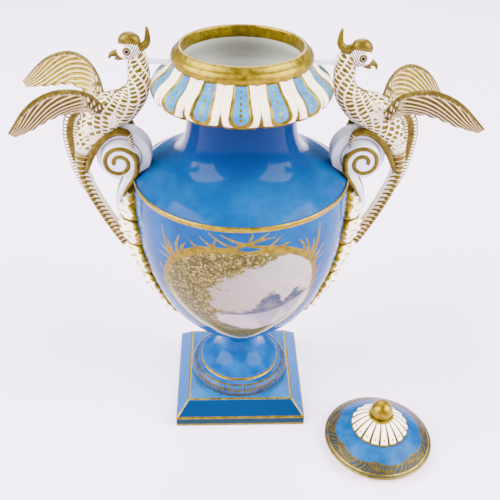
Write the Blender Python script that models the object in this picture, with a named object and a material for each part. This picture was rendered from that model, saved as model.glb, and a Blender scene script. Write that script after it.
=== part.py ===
"""A lidded porcelain vase on a square plinth, with two bird handles and its lid lying beside it.

Metres, +Z up. The origin is the middle of the plinth's underside, the front faces -Y, and the handles
stand on the -X and +X sides. Three pieces: the vase with its luted handles, the foot and the lid.
"""
import bmesh
import bpy
import numpy as np

# Plinth and pedestal
PLINTH_SIDE = 0.084
PLINTH_BAND_HEIGHT = 0.0073
PLINTH_BEVEL_HEIGHT = 0.0090
PLINTH_TOP_SIDE = 0.0677
PEDESTAL_HEIGHT = 0.0287
TORUS_RADIUS = 0.0324
TORUS_HEIGHT = 0.0085
GOLD_RING_RADIUS = 0.0254
STEM_RADIUS = 0.0110
FOOT_WALL = 0.0045
VENT_RADIUS = 0.0040
JOINT_GAP = 0.0003

# Vase body
BOWL_HEIGHT = 0.1211
BODY_RADIUS = 0.0618
SHOULDER_RISE = 0.0180
NECK_RADIUS = 0.0305
NECK_HEIGHT = 0.0290
BODY_WALL = 0.0038
SHOULDER_BEAD = 0.0011
COLLAR_RADIUS = 0.0487
COLLAR_HEIGHT = 0.0197
TONGUE_COUNT = 15
TONGUE_OFFSET = np.radians(-2.0)
SLIT_DEPTH = 0.0016
PANEL_DEPTH = 0.0009
RIM_RADIUS = 0.0375
RIM_HEIGHT = 0.0078
MOUTH_RADIUS = 0.0315
MOUTH_DEPTH = 0.0080

# Bird handles, whose forms are hundredths of the bird's height
BIRD_HEIGHT = 0.100
SCROLL_WIDTH = 0.0236
MOUNT_DEPTH = 0.0118
MOUNT_LOBES = 5
WING_FEATHERS = 8
WING_THICKNESS = 0.0026

# Lid
LID_RADIUS = 0.03405
LID_EDGE = 0.0016
LID_WALL = 0.0032
LID_CLEARANCE = 0.0008
FLANGE_DEPTH = 0.0042
LID_DOME_HEIGHT = 0.0100
DAISY_RADIUS = 0.0181
DAISY_HEIGHT = 0.0090
DAISY_PETALS = 18
KNOB_RING_RADIUS = 0.0078
KNOB_RADIUS = 0.0067
LID_PLACE = (0.0876, -0.0570)

# Heights that follow from the sizes above
PLINTH_TOP = PLINTH_BAND_HEIGHT + PLINTH_BEVEL_HEIGHT
FOOT_TOP = PLINTH_TOP + PEDESTAL_HEIGHT
BODY_BOTTOM = FOOT_TOP + JOINT_GAP
SHOULDER_LEVEL = BODY_BOTTOM + BOWL_HEIGHT
NECK_LEVEL = SHOULDER_LEVEL + SHOULDER_RISE
COLLAR_LEVEL = NECK_LEVEL + NECK_HEIGHT
RIM_LEVEL = COLLAR_LEVEL + COLLAR_HEIGHT
RIM_TOP = RIM_LEVEL + RIM_HEIGHT

# Facets of the turned and swept forms
BODY_FACETS = 30
HOLLOW_FACETS = 18
FOOT_FACETS = 28
KNOB_FACETS = 14
ROLL_FACETS = 14
POLE = 0.0003
BIRD_UNIT = BIRD_HEIGHT / 100
BIRD_FOOT_LEVEL = SHOULDER_LEVEL - 17 * BIRD_UNIT
MOUNT_LENGTH = 0.75 * BOWL_HEIGHT


def clear_scene():
    """Remove everything that the scene holds at the start."""
    for thing in list(bpy.data.objects):
        bpy.data.objects.remove(thing, do_unlink=True)


def smooth_curve(points, count):
    """Points evenly spaced by chord along a Catmull-Rom curve through the given points."""
    points = np.asarray(points, float)
    ends = [2 * points[0] - points[1]], [2 * points[-1] - points[-2]]
    padded = np.concatenate([ends[0], points, ends[1]])
    fine = []
    for index in range(len(points) - 1):
        before, start, end, after = padded[index:index + 4]
        t = np.linspace(0, 1, 16, endpoint=False)[:, None]
        fine.append(0.5 * (2 * start + (end - before) * t
                           + (2 * before - 5 * start + 4 * end - after) * t ** 2
                           + (3 * start - before - 3 * end + after) * t ** 3))
    fine = np.concatenate(fine + [points[-1:]])
    travel = np.concatenate([[0], np.cumsum(np.linalg.norm(np.diff(fine, axis=0), axis=1))])
    marks = np.linspace(0, travel[-1], count)
    return np.stack([np.interp(marks, travel, fine[:, axis]) for axis in range(points.shape[1])], axis=1)


def loft(name, rings):
    """A closed mesh object through a row of point rings, capped at both ends."""
    rings = np.asarray(rings, float)
    work = bmesh.new()
    rows = [[work.verts.new(point) for point in ring] for ring in rings]
    work.faces.new(rows[0][::-1])
    work.faces.new(rows[-1])
    for lower, upper in zip(rows[:-1], rows[1:]):
        for index in range(len(lower)):
            after = (index + 1) % len(lower)
            work.faces.new((lower[index], lower[after], upper[after], upper[index]))
    bmesh.ops.triangulate(work, faces=work.faces[:])
    bmesh.ops.recalc_face_normals(work, faces=work.faces[:])
    mesh = bpy.data.meshes.new(name)
    work.to_mesh(mesh)
    work.free()
    mesh.shade_smooth()
    mesh.set_sharp_from_angle(angle=np.radians(40))
    made = bpy.data.objects.new(name, mesh)
    bpy.context.scene.collection.objects.link(made)
    return made


def circle_rings(profile, facets, centre=(0, 0)):
    """Rings for a turned form, from rows of radius and height."""
    angle = np.linspace(0, 2 * np.pi, facets, endpoint=False)
    return [np.stack([centre[0] + radius * np.cos(angle), centre[1] + radius * np.sin(angle),
                      np.full(facets, level)], axis=1) for radius, level in profile]


def square_rings(profile, chamfer):
    """Rings for a square form with cut corners, from rows of half side and height."""
    rings = []
    for half, level in profile:
        cut = half - chamfer
        corners = [(half, -cut), (half, cut), (cut, half), (-cut, half),
                   (-half, cut), (-half, -cut), (-cut, -half), (cut, -half)]
        rings.append([(x, y, level) for x, y in corners])
    return rings


def as_tool(piece, collection):
    """Make a piece a hidden operand of a Boolean."""
    for holder in list(piece.users_collection):
        holder.objects.unlink(piece)
    collection.objects.link(piece)
    piece.hide_render = True
    piece.display_type = 'WIRE'


def tool_collection(name, pieces):
    """Gather pieces as the hidden operands of one Boolean."""
    collection = bpy.data.collections.new(name)
    bpy.context.scene.collection.children.link(collection)
    for piece in pieces:
        as_tool(piece, collection)
    return collection


def combine(base, operation, collection):
    """Add an exact Boolean with a collection of tools to the base piece."""
    cut = base.modifiers.new(operation.title(), 'BOOLEAN')
    cut.operation = operation
    cut.solver = 'EXACT'
    cut.operand_type = 'COLLECTION'
    cut.collection = collection


def merge_flat(piece):
    """Join faces that lie nearly in one plane after the Booleans."""
    joined = piece.modifiers.new("Merge flat", 'DECIMATE')
    joined.decimate_type = 'DISSOLVE'
    joined.angle_limit = np.radians(2.0)


def glazed(piece, name, colour, roughness, metallic=0.0):
    """Give a piece its own Principled material."""
    material = bpy.data.materials.new(name)
    material.use_nodes = True
    shader = material.node_tree.nodes["Principled BSDF"]
    shader.inputs["Base Color"].default_value = (*colour, 1)
    shader.inputs["Roughness"].default_value = roughness
    shader.inputs["Metallic"].default_value = metallic
    piece.data.materials.append(material)


def bowl_outline():
    """The bowl's side as rows of radius and height, from the stem to the shoulder line."""
    shares = [(0.178, 0.0), (0.200, 0.026), (0.280, 0.073), (0.518, 0.178), (0.745, 0.317), (0.893, 0.490),
              (0.971, 0.663), (1.000, 0.837), (0.987, 1.0)]
    return [(BODY_RADIUS * wide, BODY_BOTTOM + BOWL_HEIGHT * high) for wide, high in shares]


def shoulder_outline():
    """The shoulder's sweep up to the neck, which it meets upright."""
    drop = BODY_RADIUS * 0.987 - NECK_RADIUS
    shares = [(0.93, 0.10), (0.76, 0.30), (0.50, 0.48), (0.27, 0.68), (0.11, 1.0)]
    return [(NECK_RADIUS + drop * wide, SHOULDER_LEVEL + SHOULDER_RISE * high) for wide, high in shares]


def neck_outline():
    """The neck, narrowest at two thirds of its height, up to under the collar."""
    return [(NECK_RADIUS * 1.016, NECK_LEVEL + NECK_HEIGHT * 0.33),
            (NECK_RADIUS, NECK_LEVEL + NECK_HEIGHT * 0.66),
            (NECK_RADIUS * 1.03, COLLAR_LEVEL)]


BOWL_CURVE = smooth_curve(bowl_outline(), 120)


def bowl_radius(level):
    """The bowl's outer radius at a height."""
    return np.interp(level, BOWL_CURVE[:, 1], BOWL_CURVE[:, 0])


def collar_outline():
    """The tongue collar's outline from its overhanging lower lip to the rim."""
    shares = [(0.66, 0.0), (0.90, 0.0), (0.98, 0.13), (1.0, 0.34), (0.94, 0.56), (0.83, 0.77), (0.74, 1.06)]
    return [(COLLAR_RADIUS * wide, COLLAR_LEVEL + COLLAR_HEIGHT * high) for wide, high in shares]


def rim_outline():
    """The gilt rim: a bead below a ledge that runs in to the mouth."""
    lip = RIM_RADIUS - MOUTH_RADIUS
    shares = [(0.84, -0.15), (1.0, 0.27), (0.90, 0.54), (0.52, 0.82), (0.24, 1.0), (0.05, 1.0)]
    return [(MOUTH_RADIUS + lip * wide, RIM_LEVEL + RIM_HEIGHT * high) for wide, high in shares]


def inward(outline, wall):
    """An outline moved in by the wall, square to itself, on a curve run from bottom to top."""
    outline = np.asarray(outline, float)
    along = np.gradient(outline, axis=0)
    along /= np.linalg.norm(along, axis=1)[:, None]
    moved = outline + wall * np.stack([-along[:, 1], along[:, 0]], axis=1)
    return moved[moved[:, 0] > POLE]


def vase_hollow():
    """The space inside the vase, which follows the wall and opens through the mouth."""
    side = smooth_curve(bowl_outline()[1:] + shoulder_outline() + neck_outline(), 12)
    inner = inward(side, BODY_WALL)
    inner = inner[inner[:, 1] > BODY_BOTTOM + BODY_WALL * 1.4]
    collar = COLLAR_RADIUS - 1.4 * BODY_WALL
    mouth_foot = RIM_TOP - MOUTH_DEPTH
    upper = [(collar * 0.86, COLLAR_LEVEL + COLLAR_HEIGHT * 0.20),
             (collar, COLLAR_LEVEL + COLLAR_HEIGHT * 0.36),
             (collar * 0.84, COLLAR_LEVEL + COLLAR_HEIGHT * 0.62),
             (MOUTH_RADIUS, mouth_foot), (MOUTH_RADIUS, RIM_TOP + MOUTH_DEPTH)]
    floor = [(POLE, inner[0, 1])]
    return loft("vase_hollow", circle_rings(floor + [tuple(row) for row in inner] + upper, HOLLOW_FACETS))


def tongue_collar():
    """The collar of tongues: a slit between tongues that widens downward, and a sunk panel in each."""
    column = np.array([0.0, 0.14, 0.32, 0.68, 0.86]) * (2 * np.pi / TONGUE_COUNT)
    slit = np.array([1.0, 0.0, 0.0, 0.0, 0.0])
    panel = np.array([0.0, 0.0, 1.0, 1.0, 0.0])
    turns = np.arange(TONGUE_COUNT)[:, None] * (2 * np.pi / TONGUE_COUNT)
    half_turn = np.pi / TONGUE_COUNT
    angle = (turns + column[None, :] - half_turn + TONGUE_OFFSET - np.pi / 2).ravel()
    slit = np.tile(slit, TONGUE_COUNT)
    panel = np.tile(panel, TONGUE_COUNT)
    rings = []
    for radius, level in collar_outline():
        high = (level - COLLAR_LEVEL) / COLLAR_HEIGHT
        open_slit = np.clip(1 - high / 0.7, 0, 1) * (high > 0)
        open_panel = np.clip((high - 0.16) / 0.15, 0, 1)
        reach = radius - SLIT_DEPTH * open_slit * slit - PANEL_DEPTH * open_panel * panel
        height = np.full(len(angle), level)
        rings.append(np.stack([reach * np.cos(angle), reach * np.sin(angle), height], axis=1))
    return loft("tongue_collar", rings)


def handle_point(side, out, up, depth=0.0):
    """A point of a handle, from hundredths of the bird's height out from the bowl, up and across."""
    return np.stack(np.broadcast_arrays(side * (BODY_RADIUS + np.asarray(out) * BIRD_UNIT),
                                        np.asarray(depth) * BIRD_UNIT,
                                        BIRD_FOOT_LEVEL + np.asarray(up) * BIRD_UNIT), axis=-1)


def ribbon(name, side, stations, count, sides, depth=0.0, square=1.0):
    """A form swept in the handle's plane through stations of out, up, half thickness and half width."""
    rows = smooth_curve(stations, count)
    along = np.gradient(rows[:, :2], axis=0)
    along /= np.linalg.norm(along, axis=1)[:, None]
    across = np.stack([-along[:, 1], along[:, 0]], axis=1)
    angle = np.linspace(0, 2 * np.pi, sides, endpoint=False) + np.pi / sides
    thick = np.sign(np.cos(angle)) * np.abs(np.cos(angle)) ** square
    wide = np.sign(np.sin(angle)) * np.abs(np.sin(angle)) ** square
    out = rows[:, 0:1] + across[:, 0:1] * rows[:, 2:3] * thick
    up = rows[:, 1:2] + across[:, 1:2] * rows[:, 2:3] * thick
    return loft(name, handle_point(side, out, up, depth + rows[:, 3:4] * wide))


def nodded(out, up, nod):
    """Turn a point of the head down about the crest's root, and carry it forward with the neck."""
    pivot_out, pivot_up = -9.0, 88.0
    turn = np.radians(nod)
    dx, dz = out - pivot_out, up - pivot_up
    return (pivot_out + 0.26 * nod + dx * np.cos(turn) + dz * np.sin(turn),
            pivot_up - 0.13 * nod - dx * np.sin(turn) + dz * np.cos(turn))


def head_form(name, side, stations, count, sides, nod):
    """A ribbon of the head, nodded with it."""
    turned = [(*nodded(out, up, nod), thick, wide) for out, up, thick, wide in stations]
    return ribbon(name, side, turned, count, sides)


def bird_wing(name, side, front, pose):
    """One spread wing: a cambered blade between its two edges, with rounded feather ends below.

    The pose moves the wing's root, arch and tip, each by a step out and a step up.
    """
    rows = 2 * WING_FEATHERS + 1
    leading = smooth_curve([(11.5, 6, 60), (14.4, 12.6, 67.4), (17.6, 19, 72.8), (23.2, 25.5, 76.8),
                            (31.2, 30.5, 78.1), (39.7, 33.5, 75.6), (47.7, 36, 70.1),
                            (57.2, 38.5, 59.2)], rows)
    trailing = smooth_curve([(15, 4, 50), (19.5, 9, 57.5), (23.2, 15.5, 60.6), (27.7, 20, 61.8),
                             (32.7, 24, 61.8), (38.7, 26.5, 60.0), (45.7, 31.0, 57.6),
                             (54.8, 36.2, 56.0)], rows)
    span = np.linspace(0, 1, rows)[:, None]
    feather_end = 1 + 0.10 * np.abs(np.sin(np.pi * WING_FEATHERS * span)) * (1 - 0.6 * span)
    chord = np.array([0.0, 0.5, 1.0])
    spread = (trailing - leading)[:, None, :] * (chord[None, :, None] * feather_end[:, :, None])
    sheet = leading[:, None, :] + spread
    root, arch, tip = (1 - span) * (1 - 2 * span), 4 * span * (1 - span), span * (2 * span - 1)
    sheet[..., 0] += root * pose[0][0] + arch * pose[1][0] + tip * pose[2][0]
    sheet[..., 2] += root * pose[0][1] + arch * pose[1][1] + tip * pose[2][1]
    along = np.gradient(sheet, axis=0)
    square = np.cross(along, sheet[:, 2:3] - sheet[:, 0:1])
    square /= np.linalg.norm(square, axis=2)[..., None]
    blade = np.array([0.85, 1.1, 0.65])[:, None]
    half = 0.5 * WING_THICKNESS / BIRD_UNIT * (1.15 - 0.55 * span[:, :, None]) * blade
    hollow = 2.0 * np.sin(np.pi * chord)[None, :, None] * (1 - span[:, :, None] ** 3)
    outer = sheet + square * (hollow + half)
    inner = (sheet + square * (hollow - half))[:, ::-1]
    ring = np.concatenate([outer, inner], axis=1)
    return loft(name, handle_point(side, ring[..., 0], ring[..., 2], front * ring[..., 1]))


def scroll_forms(name, side):
    """The volute under the bird's claws: a drum between two coiled ends, and the leaf stem below it."""
    roll_out, roll_up = 5.8, 29.6
    end_radius, drum_radius = 8.9, 15.3
    half_width = 0.5 * SCROLL_WIDTH / BIRD_UNIT
    angle = np.linspace(0, 2 * np.pi, ROLL_FACETS, endpoint=False)
    swell = [(-1.0, 0.0), (-0.93, 0.20), (-0.60, 0.36), (-0.48, 0.92),
             (0.48, 0.92), (0.60, 0.36), (0.93, 0.20), (1.0, 0.0)]
    rings = []
    for across, share in swell:
        radius = end_radius - 0.8 + (drum_radius - end_radius + 0.8) * share
        out = roll_out - 2.2 * share + radius * np.cos(angle)
        rings.append(handle_point(side, out, roll_up + radius * np.sin(angle), across * half_width))
    turn = np.linspace(0, 1.55 * 2 * np.pi, 24)
    coil_radius = end_radius - 1.0 - 6.2 * turn / turn[-1]
    coil = [(roll_out - radius * np.cos(a), roll_up - 2.0 * (1 - a / turn[-1]) ** 2 + radius * np.sin(a),
             0.8, half_width + 0.75) for a, radius in zip(turn, coil_radius)]
    stem = [(-1.0, 31.0, 3.0, half_width * 0.93), (-1.0, 24.0, 4.6, half_width * 0.92),
            (1.6, 17.0, 4.8, half_width * 0.88), (5.6, 10.0, 3.4, half_width * 0.76),
            (8.4, 2.5, 2.1, half_width * 0.66), (8.6, -6.0, 2.2, half_width * 0.6)]
    return [loft(name + "_roll", rings), ribbon(name + "_coil", side, coil, 17, 4, square=0.0),
            ribbon(name + "_stem", side, stem, 7, 6, square=0.7)]


def side_mount(name, side):
    """The acanthus mount that runs down the bowl below the scroll, wrapped round it, in scalloped lobes."""
    rows = 3 * MOUNT_LOBES + 1
    down = np.linspace(0, 1, rows)
    level = BIRD_FOOT_LEVEL + 0.12 * MOUNT_LENGTH - MOUNT_LENGTH * down
    radius = bowl_radius(level)
    lobe = np.abs(np.sin(np.pi * MOUNT_LOBES * down)) ** 0.6
    spread = np.interp(down, [0, 0.10, 0.17, 0.25, 0.35, 0.48, 0.60, 0.75, 0.88, 1.0],
                       [7, 9, 17, 19, 15, 18, 21, 24, 28, 14])
    half_angle = np.radians(spread) * (0.80 + 0.20 * lobe)
    top_fall = np.interp(down, [0, 0.12], [0.6, 1])
    depth = MOUNT_DEPTH * (1 - 0.66 * down ** 3) * (0.86 + 0.14 * lobe) * top_fall
    across = np.array([-1.0, -0.6, 0.0, 0.6, 1.0])
    crown = np.array([0.12, 0.74, 1.0, 0.74, 0.12])
    outer_radius = radius[:, None] + depth[:, None] * crown
    inner_radius = np.repeat(radius[:, None] - 0.4 * BODY_WALL, 3, axis=1)
    outer_angle = half_angle[:, None] * across
    inner_angle = half_angle[:, None] * np.array([0.9, 0.0, -0.9])
    reach = np.concatenate([outer_radius, inner_radius], axis=1)
    angle = np.concatenate([outer_angle, inner_angle], axis=1)
    height = np.repeat(level[:, None], reach.shape[1], axis=1)
    return loft(name, np.stack([side * reach * np.cos(angle), reach * np.sin(angle), height], axis=-1))


def bird_handle(name, side, nod, front_pose, back_pose):
    """One bird handle: neck, body and tail strap in one sweep, then head, wings, tail, legs and scroll."""
    trunk = [(-7.6, 86.6, 4.0, 4.0), (-7.4, 79.6, 5.4, 5.2), (-7.2, 71.6, 5.7, 5.8), (-4.6, 64.3, 6.8, 7.0),
             (1.6, 58.2, 8.6, 9.0), (9.8, 54.2, 10.0, 10.5), (17.2, 47.6, 9.6, 10.5), (23.7, 37.6, 7.4, 8.5),
             (27.0, 27.6, 4.8, 7.5), (27.8, 18.6, 3.1, 7.4), (25.6, 8.6, 2.6, 7.4), (21.8, -1.4, 2.4, 7.4),
             (17.0, -11.9, 2.3, 7.4), (12.2, -21.4, 2.3, 7.2), (8.0, -29.0, 2.2, 6.8)]
    forms = [ribbon(name + "_trunk", side, trunk, 16, 8)]
    skull = [(-9.5, 88.0, 1.0, 1.0), (-7.6, 88.0, 4.6, 4.2), (-3.6, 88.4, 6.0, 5.4), (-0.4, 87.8, 5.0, 4.6),
             (2.4, 87.0, 2.4, 2.4)]
    forms.append(head_form(name + "_skull", side, skull, 6, 8, nod))
    brow = [(-9.5, 92.0, 0.8, 0.8), (-7.6, 92.6, 3.0, 3.4), (-3.6, 94.0, 3.6, 4.4), (-0.4, 92.8, 3.0, 3.6),
            (1.4, 90.8, 0.8, 0.8)]
    forms.append(head_form(name + "_brow", side, brow, 6, 6, nod))
    beak = [(0.5, 86.6, 2.6, 2.6), (3.6, 86.4, 1.9, 1.9), (6.2, 85.6, 1.2, 1.3), (7.6, 83.6, 0.5, 0.6)]
    forms.append(head_form(name + "_beak", side, beak, 5, 5, nod))
    chin = [(0.0, 84.6, 1.6, 1.8), (2.6, 83.6, 1.1, 1.3), (4.6, 83.6, 0.5, 0.6)]
    forms.append(head_form(name + "_chin", side, chin, 3, 5, nod))
    crest = [(-5.5, 90.5, 2.4, 2.6), (-9.8, 89.8, 2.2, 2.3), (-12.6, 92.2, 1.9, 1.9), (-13.2, 96.2, 1.4, 1.5),
             (-13.0, 100.0, 0.7, 0.8)]
    forms.append(head_form(name + "_crest", side, crest, 7, 5, 0.40 * nod))
    collar_top = (0.78 * COLLAR_RADIUS - BODY_RADIUS) / BIRD_UNIT
    collar_up = (RIM_LEVEL - 0.11 * COLLAR_HEIGHT - BIRD_FOOT_LEVEL) / BIRD_UNIT
    lug = [(-8.0, 82.0, 2.4, 2.8), (0.5 * collar_top - 4.0, 0.5 * collar_up + 41.5, 2.2, 2.4),
           (collar_top, collar_up, 2.2, 2.6)]
    forms.append(ribbon(name + "_lug", side, lug, 3, 5))
    forms.append(bird_wing(name + "_front_wing", side, -1, front_pose))
    forms.append(bird_wing(name + "_back_wing", side, 1, back_pose))
    for across in (-1, 1):
        label = "front" if across < 0 else "back"
        plume = [(19.0, 57.0, 3.6, 2.8), (28.0, 54.0, 4.4, 3.2), (31.4, 45.0, 4.6, 3.3),
                 (31.4, 33.0, 4.2, 3.2), (30.6, 22.0, 3.0, 2.9), (28.2, 11.0, 1.8, 2.3),
                 (25.4, 5.0, 0.8, 1.4)]
        forms.append(ribbon(name + "_plume_" + label, side, plume, 7, 4, depth=3.0 * across))
        leg = [(24.8, 22.0, 1.4, 1.6), (19.8, 33.0, 1.9, 2.1), (13.6, 41.6, 2.3, 2.4), (6.6, 45.2, 2.2, 2.4),
               (0.6, 44.6, 1.9, 2.6), (-1.6, 39.4, 1.2, 2.2), (-1.8, 35.4, 0.7, 1.4)]
        forms.append(ribbon(name + "_leg_" + label, side, leg, 7, 4, depth=4.4 * across))
    forms += scroll_forms(name + "_scroll", side)
    forms.append(side_mount(name + "_mount", side))
    return forms


def make_vase():
    """The vase: a turned solid, with collar and handles fused on, hollowed from the mouth."""
    side = smooth_curve(bowl_outline(), 10)
    bead = [(BODY_RADIUS * 0.987 + SHOULDER_BEAD, SHOULDER_LEVEL + SHOULDER_BEAD)]
    upper = smooth_curve([(BODY_RADIUS * 0.987 - SHOULDER_BEAD, SHOULDER_LEVEL + 2 * SHOULDER_BEAD)]
                         + shoulder_outline() + neck_outline(), 8)
    through_collar = [(NECK_RADIUS * 1.03, COLLAR_LEVEL + 0.5 * COLLAR_HEIGHT)]
    profile = [(POLE, BODY_BOTTOM)] + [tuple(row) for row in side] + bead + [tuple(row) for row in upper]
    profile += through_collar + rim_outline() + [(POLE, RIM_TOP)]
    vase = loft("vase_body", circle_rings(profile, BODY_FACETS))
    forms = [tongue_collar()]
    forms += bird_handle("left_bird", -1, 0.0, ((0, 0), (0, 0.2), (-3, 0)), ((0, -8), (1.5, -1.5), (7.5, -3)))
    forms += bird_handle("right_bird", 1, 13.0, ((2.5, -5), (1, 0.5), (2, 2.5)), ((3, -5), (4, -8), (1, -9)))
    combine(vase, 'UNION', tool_collection("Fused forms", forms))
    combine(vase, 'DIFFERENCE', tool_collection("Vase hollow", [vase_hollow()]))
    merge_flat(vase)
    glazed(vase, "turquoise_glaze", (0.045, 0.26, 0.62), 0.12)


def make_foot():
    """The foot: square plinth and round pedestal in one hollow casting with a vent in its base."""
    half = PLINTH_SIDE / 2
    top_half = PLINTH_TOP_SIDE / 2
    chamfer = 0.0006
    block = [(half, 0.0), (half, PLINTH_BAND_HEIGHT), (top_half, PLINTH_TOP)]
    foot = loft("pedestal_foot", square_rings(block, chamfer))
    torus_top = PLINTH_TOP + TORUS_HEIGHT
    rise = FOOT_TOP - torus_top
    into = PLINTH_TOP - 0.5 * FOOT_WALL
    turned = [(TORUS_RADIUS * 0.9, into), (TORUS_RADIUS * 0.97, PLINTH_TOP),
              (TORUS_RADIUS, PLINTH_TOP + 0.3 * TORUS_HEIGHT),
              (TORUS_RADIUS * 0.99, PLINTH_TOP + 0.55 * TORUS_HEIGHT),
              (TORUS_RADIUS * 0.93, torus_top - 0.1 * TORUS_HEIGHT),
              (GOLD_RING_RADIUS * 1.05, torus_top), (GOLD_RING_RADIUS, torus_top + 0.10 * rise)]
    sweep = [(GOLD_RING_RADIUS * 0.95, torus_top + 0.15 * rise),
             (GOLD_RING_RADIUS * 0.74, torus_top + 0.28 * rise),
             (STEM_RADIUS * 1.22, torus_top + 0.52 * rise),
             (STEM_RADIUS * 1.02, torus_top + 0.78 * rise), (STEM_RADIUS, FOOT_TOP)]
    turned += [tuple(row) for row in smooth_curve(sweep, 6)]
    pedestal = loft("pedestal", circle_rings(turned, FOOT_FACETS))
    combine(foot, 'UNION', tool_collection("Pedestal", [pedestal]))
    slope = (half - top_half) / PLINTH_BEVEL_HEIGHT
    ceiling = PLINTH_TOP - FOOT_WALL
    inner_half = half - FOOT_WALL
    inner_top = inner_half - slope * (ceiling - PLINTH_BAND_HEIGHT)
    room = loft("plinth_room", square_rings([(inner_half, FOOT_WALL), (inner_half, PLINTH_BAND_HEIGHT),
                                             (inner_top, ceiling)], chamfer))
    bore = [(GOLD_RING_RADIUS - FOOT_WALL, ceiling - 0.5 * FOOT_WALL),
            (GOLD_RING_RADIUS - FOOT_WALL, torus_top - 0.3 * FOOT_WALL),
            (GOLD_RING_RADIUS * 0.6 - 0.3 * FOOT_WALL, torus_top + 0.16 * rise),
            (STEM_RADIUS - FOOT_WALL, torus_top + 0.45 * rise),
            (STEM_RADIUS - FOOT_WALL, FOOT_TOP - FOOT_WALL)]
    shaft = loft("pedestal_room", circle_rings(bore, 16))
    vent_place = (0.5 * inner_half, 0.0)
    vent_bore = [(VENT_RADIUS, -FOOT_WALL), (VENT_RADIUS, 1.5 * FOOT_WALL)]
    vent = loft("vent", circle_rings(vent_bore, 12, vent_place))
    combine(foot, 'DIFFERENCE', tool_collection("Foot hollow", [room, shaft, vent]))
    glazed(foot, "plinth_glaze", (0.035, 0.21, 0.52), 0.14)


def make_lid():
    """The lid: a dome with a daisy of petals, a ball knob above, and a flange that fits the mouth."""
    flange = MOUTH_RADIUS - LID_CLEARANCE
    edge = FLANGE_DEPTH + LID_EDGE
    daisy = edge + LID_DOME_HEIGHT
    ring = daisy + DAISY_HEIGHT
    ball = ring + 0.62 * KNOB_RADIUS
    step = 0.0006
    fall = np.array([0.25, 0.5, 0.75])
    profile = [(POLE, ring - 2 * step), (KNOB_RING_RADIUS * 0.8, ring - 2 * step),
               (DAISY_RADIUS * 0.86, daisy - step)]
    slope = LID_RADIUS - DAISY_RADIUS
    profile += [(DAISY_RADIUS + slope * s, daisy - step - (LID_DOME_HEIGHT - step) * s ** 1.15) for s in fall]
    profile += [(LID_RADIUS - 0.4 * LID_EDGE, edge), (LID_RADIUS, edge - 0.4 * LID_EDGE),
                (LID_RADIUS - 0.5 * LID_EDGE, FLANGE_DEPTH), (flange, FLANGE_DEPTH), (flange, 0.0)]
    lid = loft("lid", circle_rings(profile, BODY_FACETS, LID_PLACE))
    petals = [(KNOB_RING_RADIUS * 0.7, ring - 3 * step), (KNOB_RING_RADIUS * 0.7, ring)]
    petals += [(KNOB_RING_RADIUS + (DAISY_RADIUS - KNOB_RING_RADIUS) * s, ring - DAISY_HEIGHT * s ** 1.7)
               for s in (0.0, 0.4, 0.75, 1.0)]
    petals += [(DAISY_RADIUS * 0.9, daisy - 2 * step)]
    rings = circle_rings(petals, 2 * DAISY_PETALS)
    for index in (3, 4, 5):
        rings[index][1::2, :2] *= 0.955
    for ring_points in rings:
        ring_points[:, :2] += LID_PLACE
    knob = [(KNOB_RING_RADIUS * 0.9, ring - 4 * step), (KNOB_RING_RADIUS, ring + step)]
    knob += [(KNOB_RADIUS * np.sin(a), ball + KNOB_RADIUS * np.cos(a)) for a in np.linspace(2.2, 0.06, 6)]
    forms = [loft("daisy", rings), loft("knob", circle_rings(knob, KNOB_FACETS, LID_PLACE))]
    combine(lid, 'UNION', tool_collection("Lid forms", forms))
    under = [(flange - LID_WALL, -LID_WALL), (flange - LID_WALL, FLANGE_DEPTH),
             (DAISY_RADIUS * 1.05, daisy - LID_WALL * 1.9), (DAISY_RADIUS * 0.8, daisy - LID_WALL * 0.6),
             (KNOB_RING_RADIUS, ring - LID_WALL * 1.5), (POLE, ring - LID_WALL * 1.3)]
    hollow = loft("lid_hollow", circle_rings(under, HOLLOW_FACETS, LID_PLACE))
    combine(lid, 'DIFFERENCE', tool_collection("Lid hollow", [hollow]))
    merge_flat(lid)
    glazed(lid, "lid_glaze", (0.05, 0.27, 0.64), 0.12)


def build():
    """Make the three pieces."""
    clear_scene()
    make_vase()
    make_foot()
    make_lid()


build()
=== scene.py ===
"""A lidded porcelain vase with two bird handles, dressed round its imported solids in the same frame."""

from functools import reduce

import bpy
import numpy as np
from mathutils import Matrix, Vector


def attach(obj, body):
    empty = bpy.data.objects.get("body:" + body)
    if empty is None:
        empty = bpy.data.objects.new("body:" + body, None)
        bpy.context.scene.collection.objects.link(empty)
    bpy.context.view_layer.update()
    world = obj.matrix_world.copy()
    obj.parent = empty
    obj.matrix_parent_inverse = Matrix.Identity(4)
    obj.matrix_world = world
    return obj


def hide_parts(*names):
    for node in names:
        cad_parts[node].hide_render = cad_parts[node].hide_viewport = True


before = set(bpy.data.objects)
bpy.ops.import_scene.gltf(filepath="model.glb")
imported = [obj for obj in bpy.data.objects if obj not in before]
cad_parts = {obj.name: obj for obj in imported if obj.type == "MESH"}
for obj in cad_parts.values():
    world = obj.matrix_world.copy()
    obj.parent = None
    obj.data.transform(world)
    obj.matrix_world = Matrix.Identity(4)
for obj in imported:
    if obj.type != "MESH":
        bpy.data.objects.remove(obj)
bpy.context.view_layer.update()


# Vase shell. Thrown and turned hard porcelain: bowl, shoulder, neck and rim in one wall, open at the top.
# It is covered in turquoise glaze outside and clear glaze over white inside, with fired gilding on the
# rim and along the shoulder, and a painted landscape in a gilt reed frame on the front.
# Sizes are in metres. MM is the millimetres in one, FRONT_HALF is half of the finely cut front in degrees,
# and FAR is more millimetres than any brush stroke reaches.
BODY_BOTTOM = 0.0453
BOWL_HEIGHT = 0.1211
BODY_RADIUS = 0.0618
SHOULDER_RISE = 0.0180
SHOULDER_BEAD = 0.0011
NECK_RADIUS = 0.0305
NECK_HEIGHT = 0.0290
COLLAR_RADIUS = 0.0487
COLLAR_HEIGHT = 0.0197
RIM_RADIUS = 0.0375
RIM_HEIGHT = 0.0078
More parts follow.
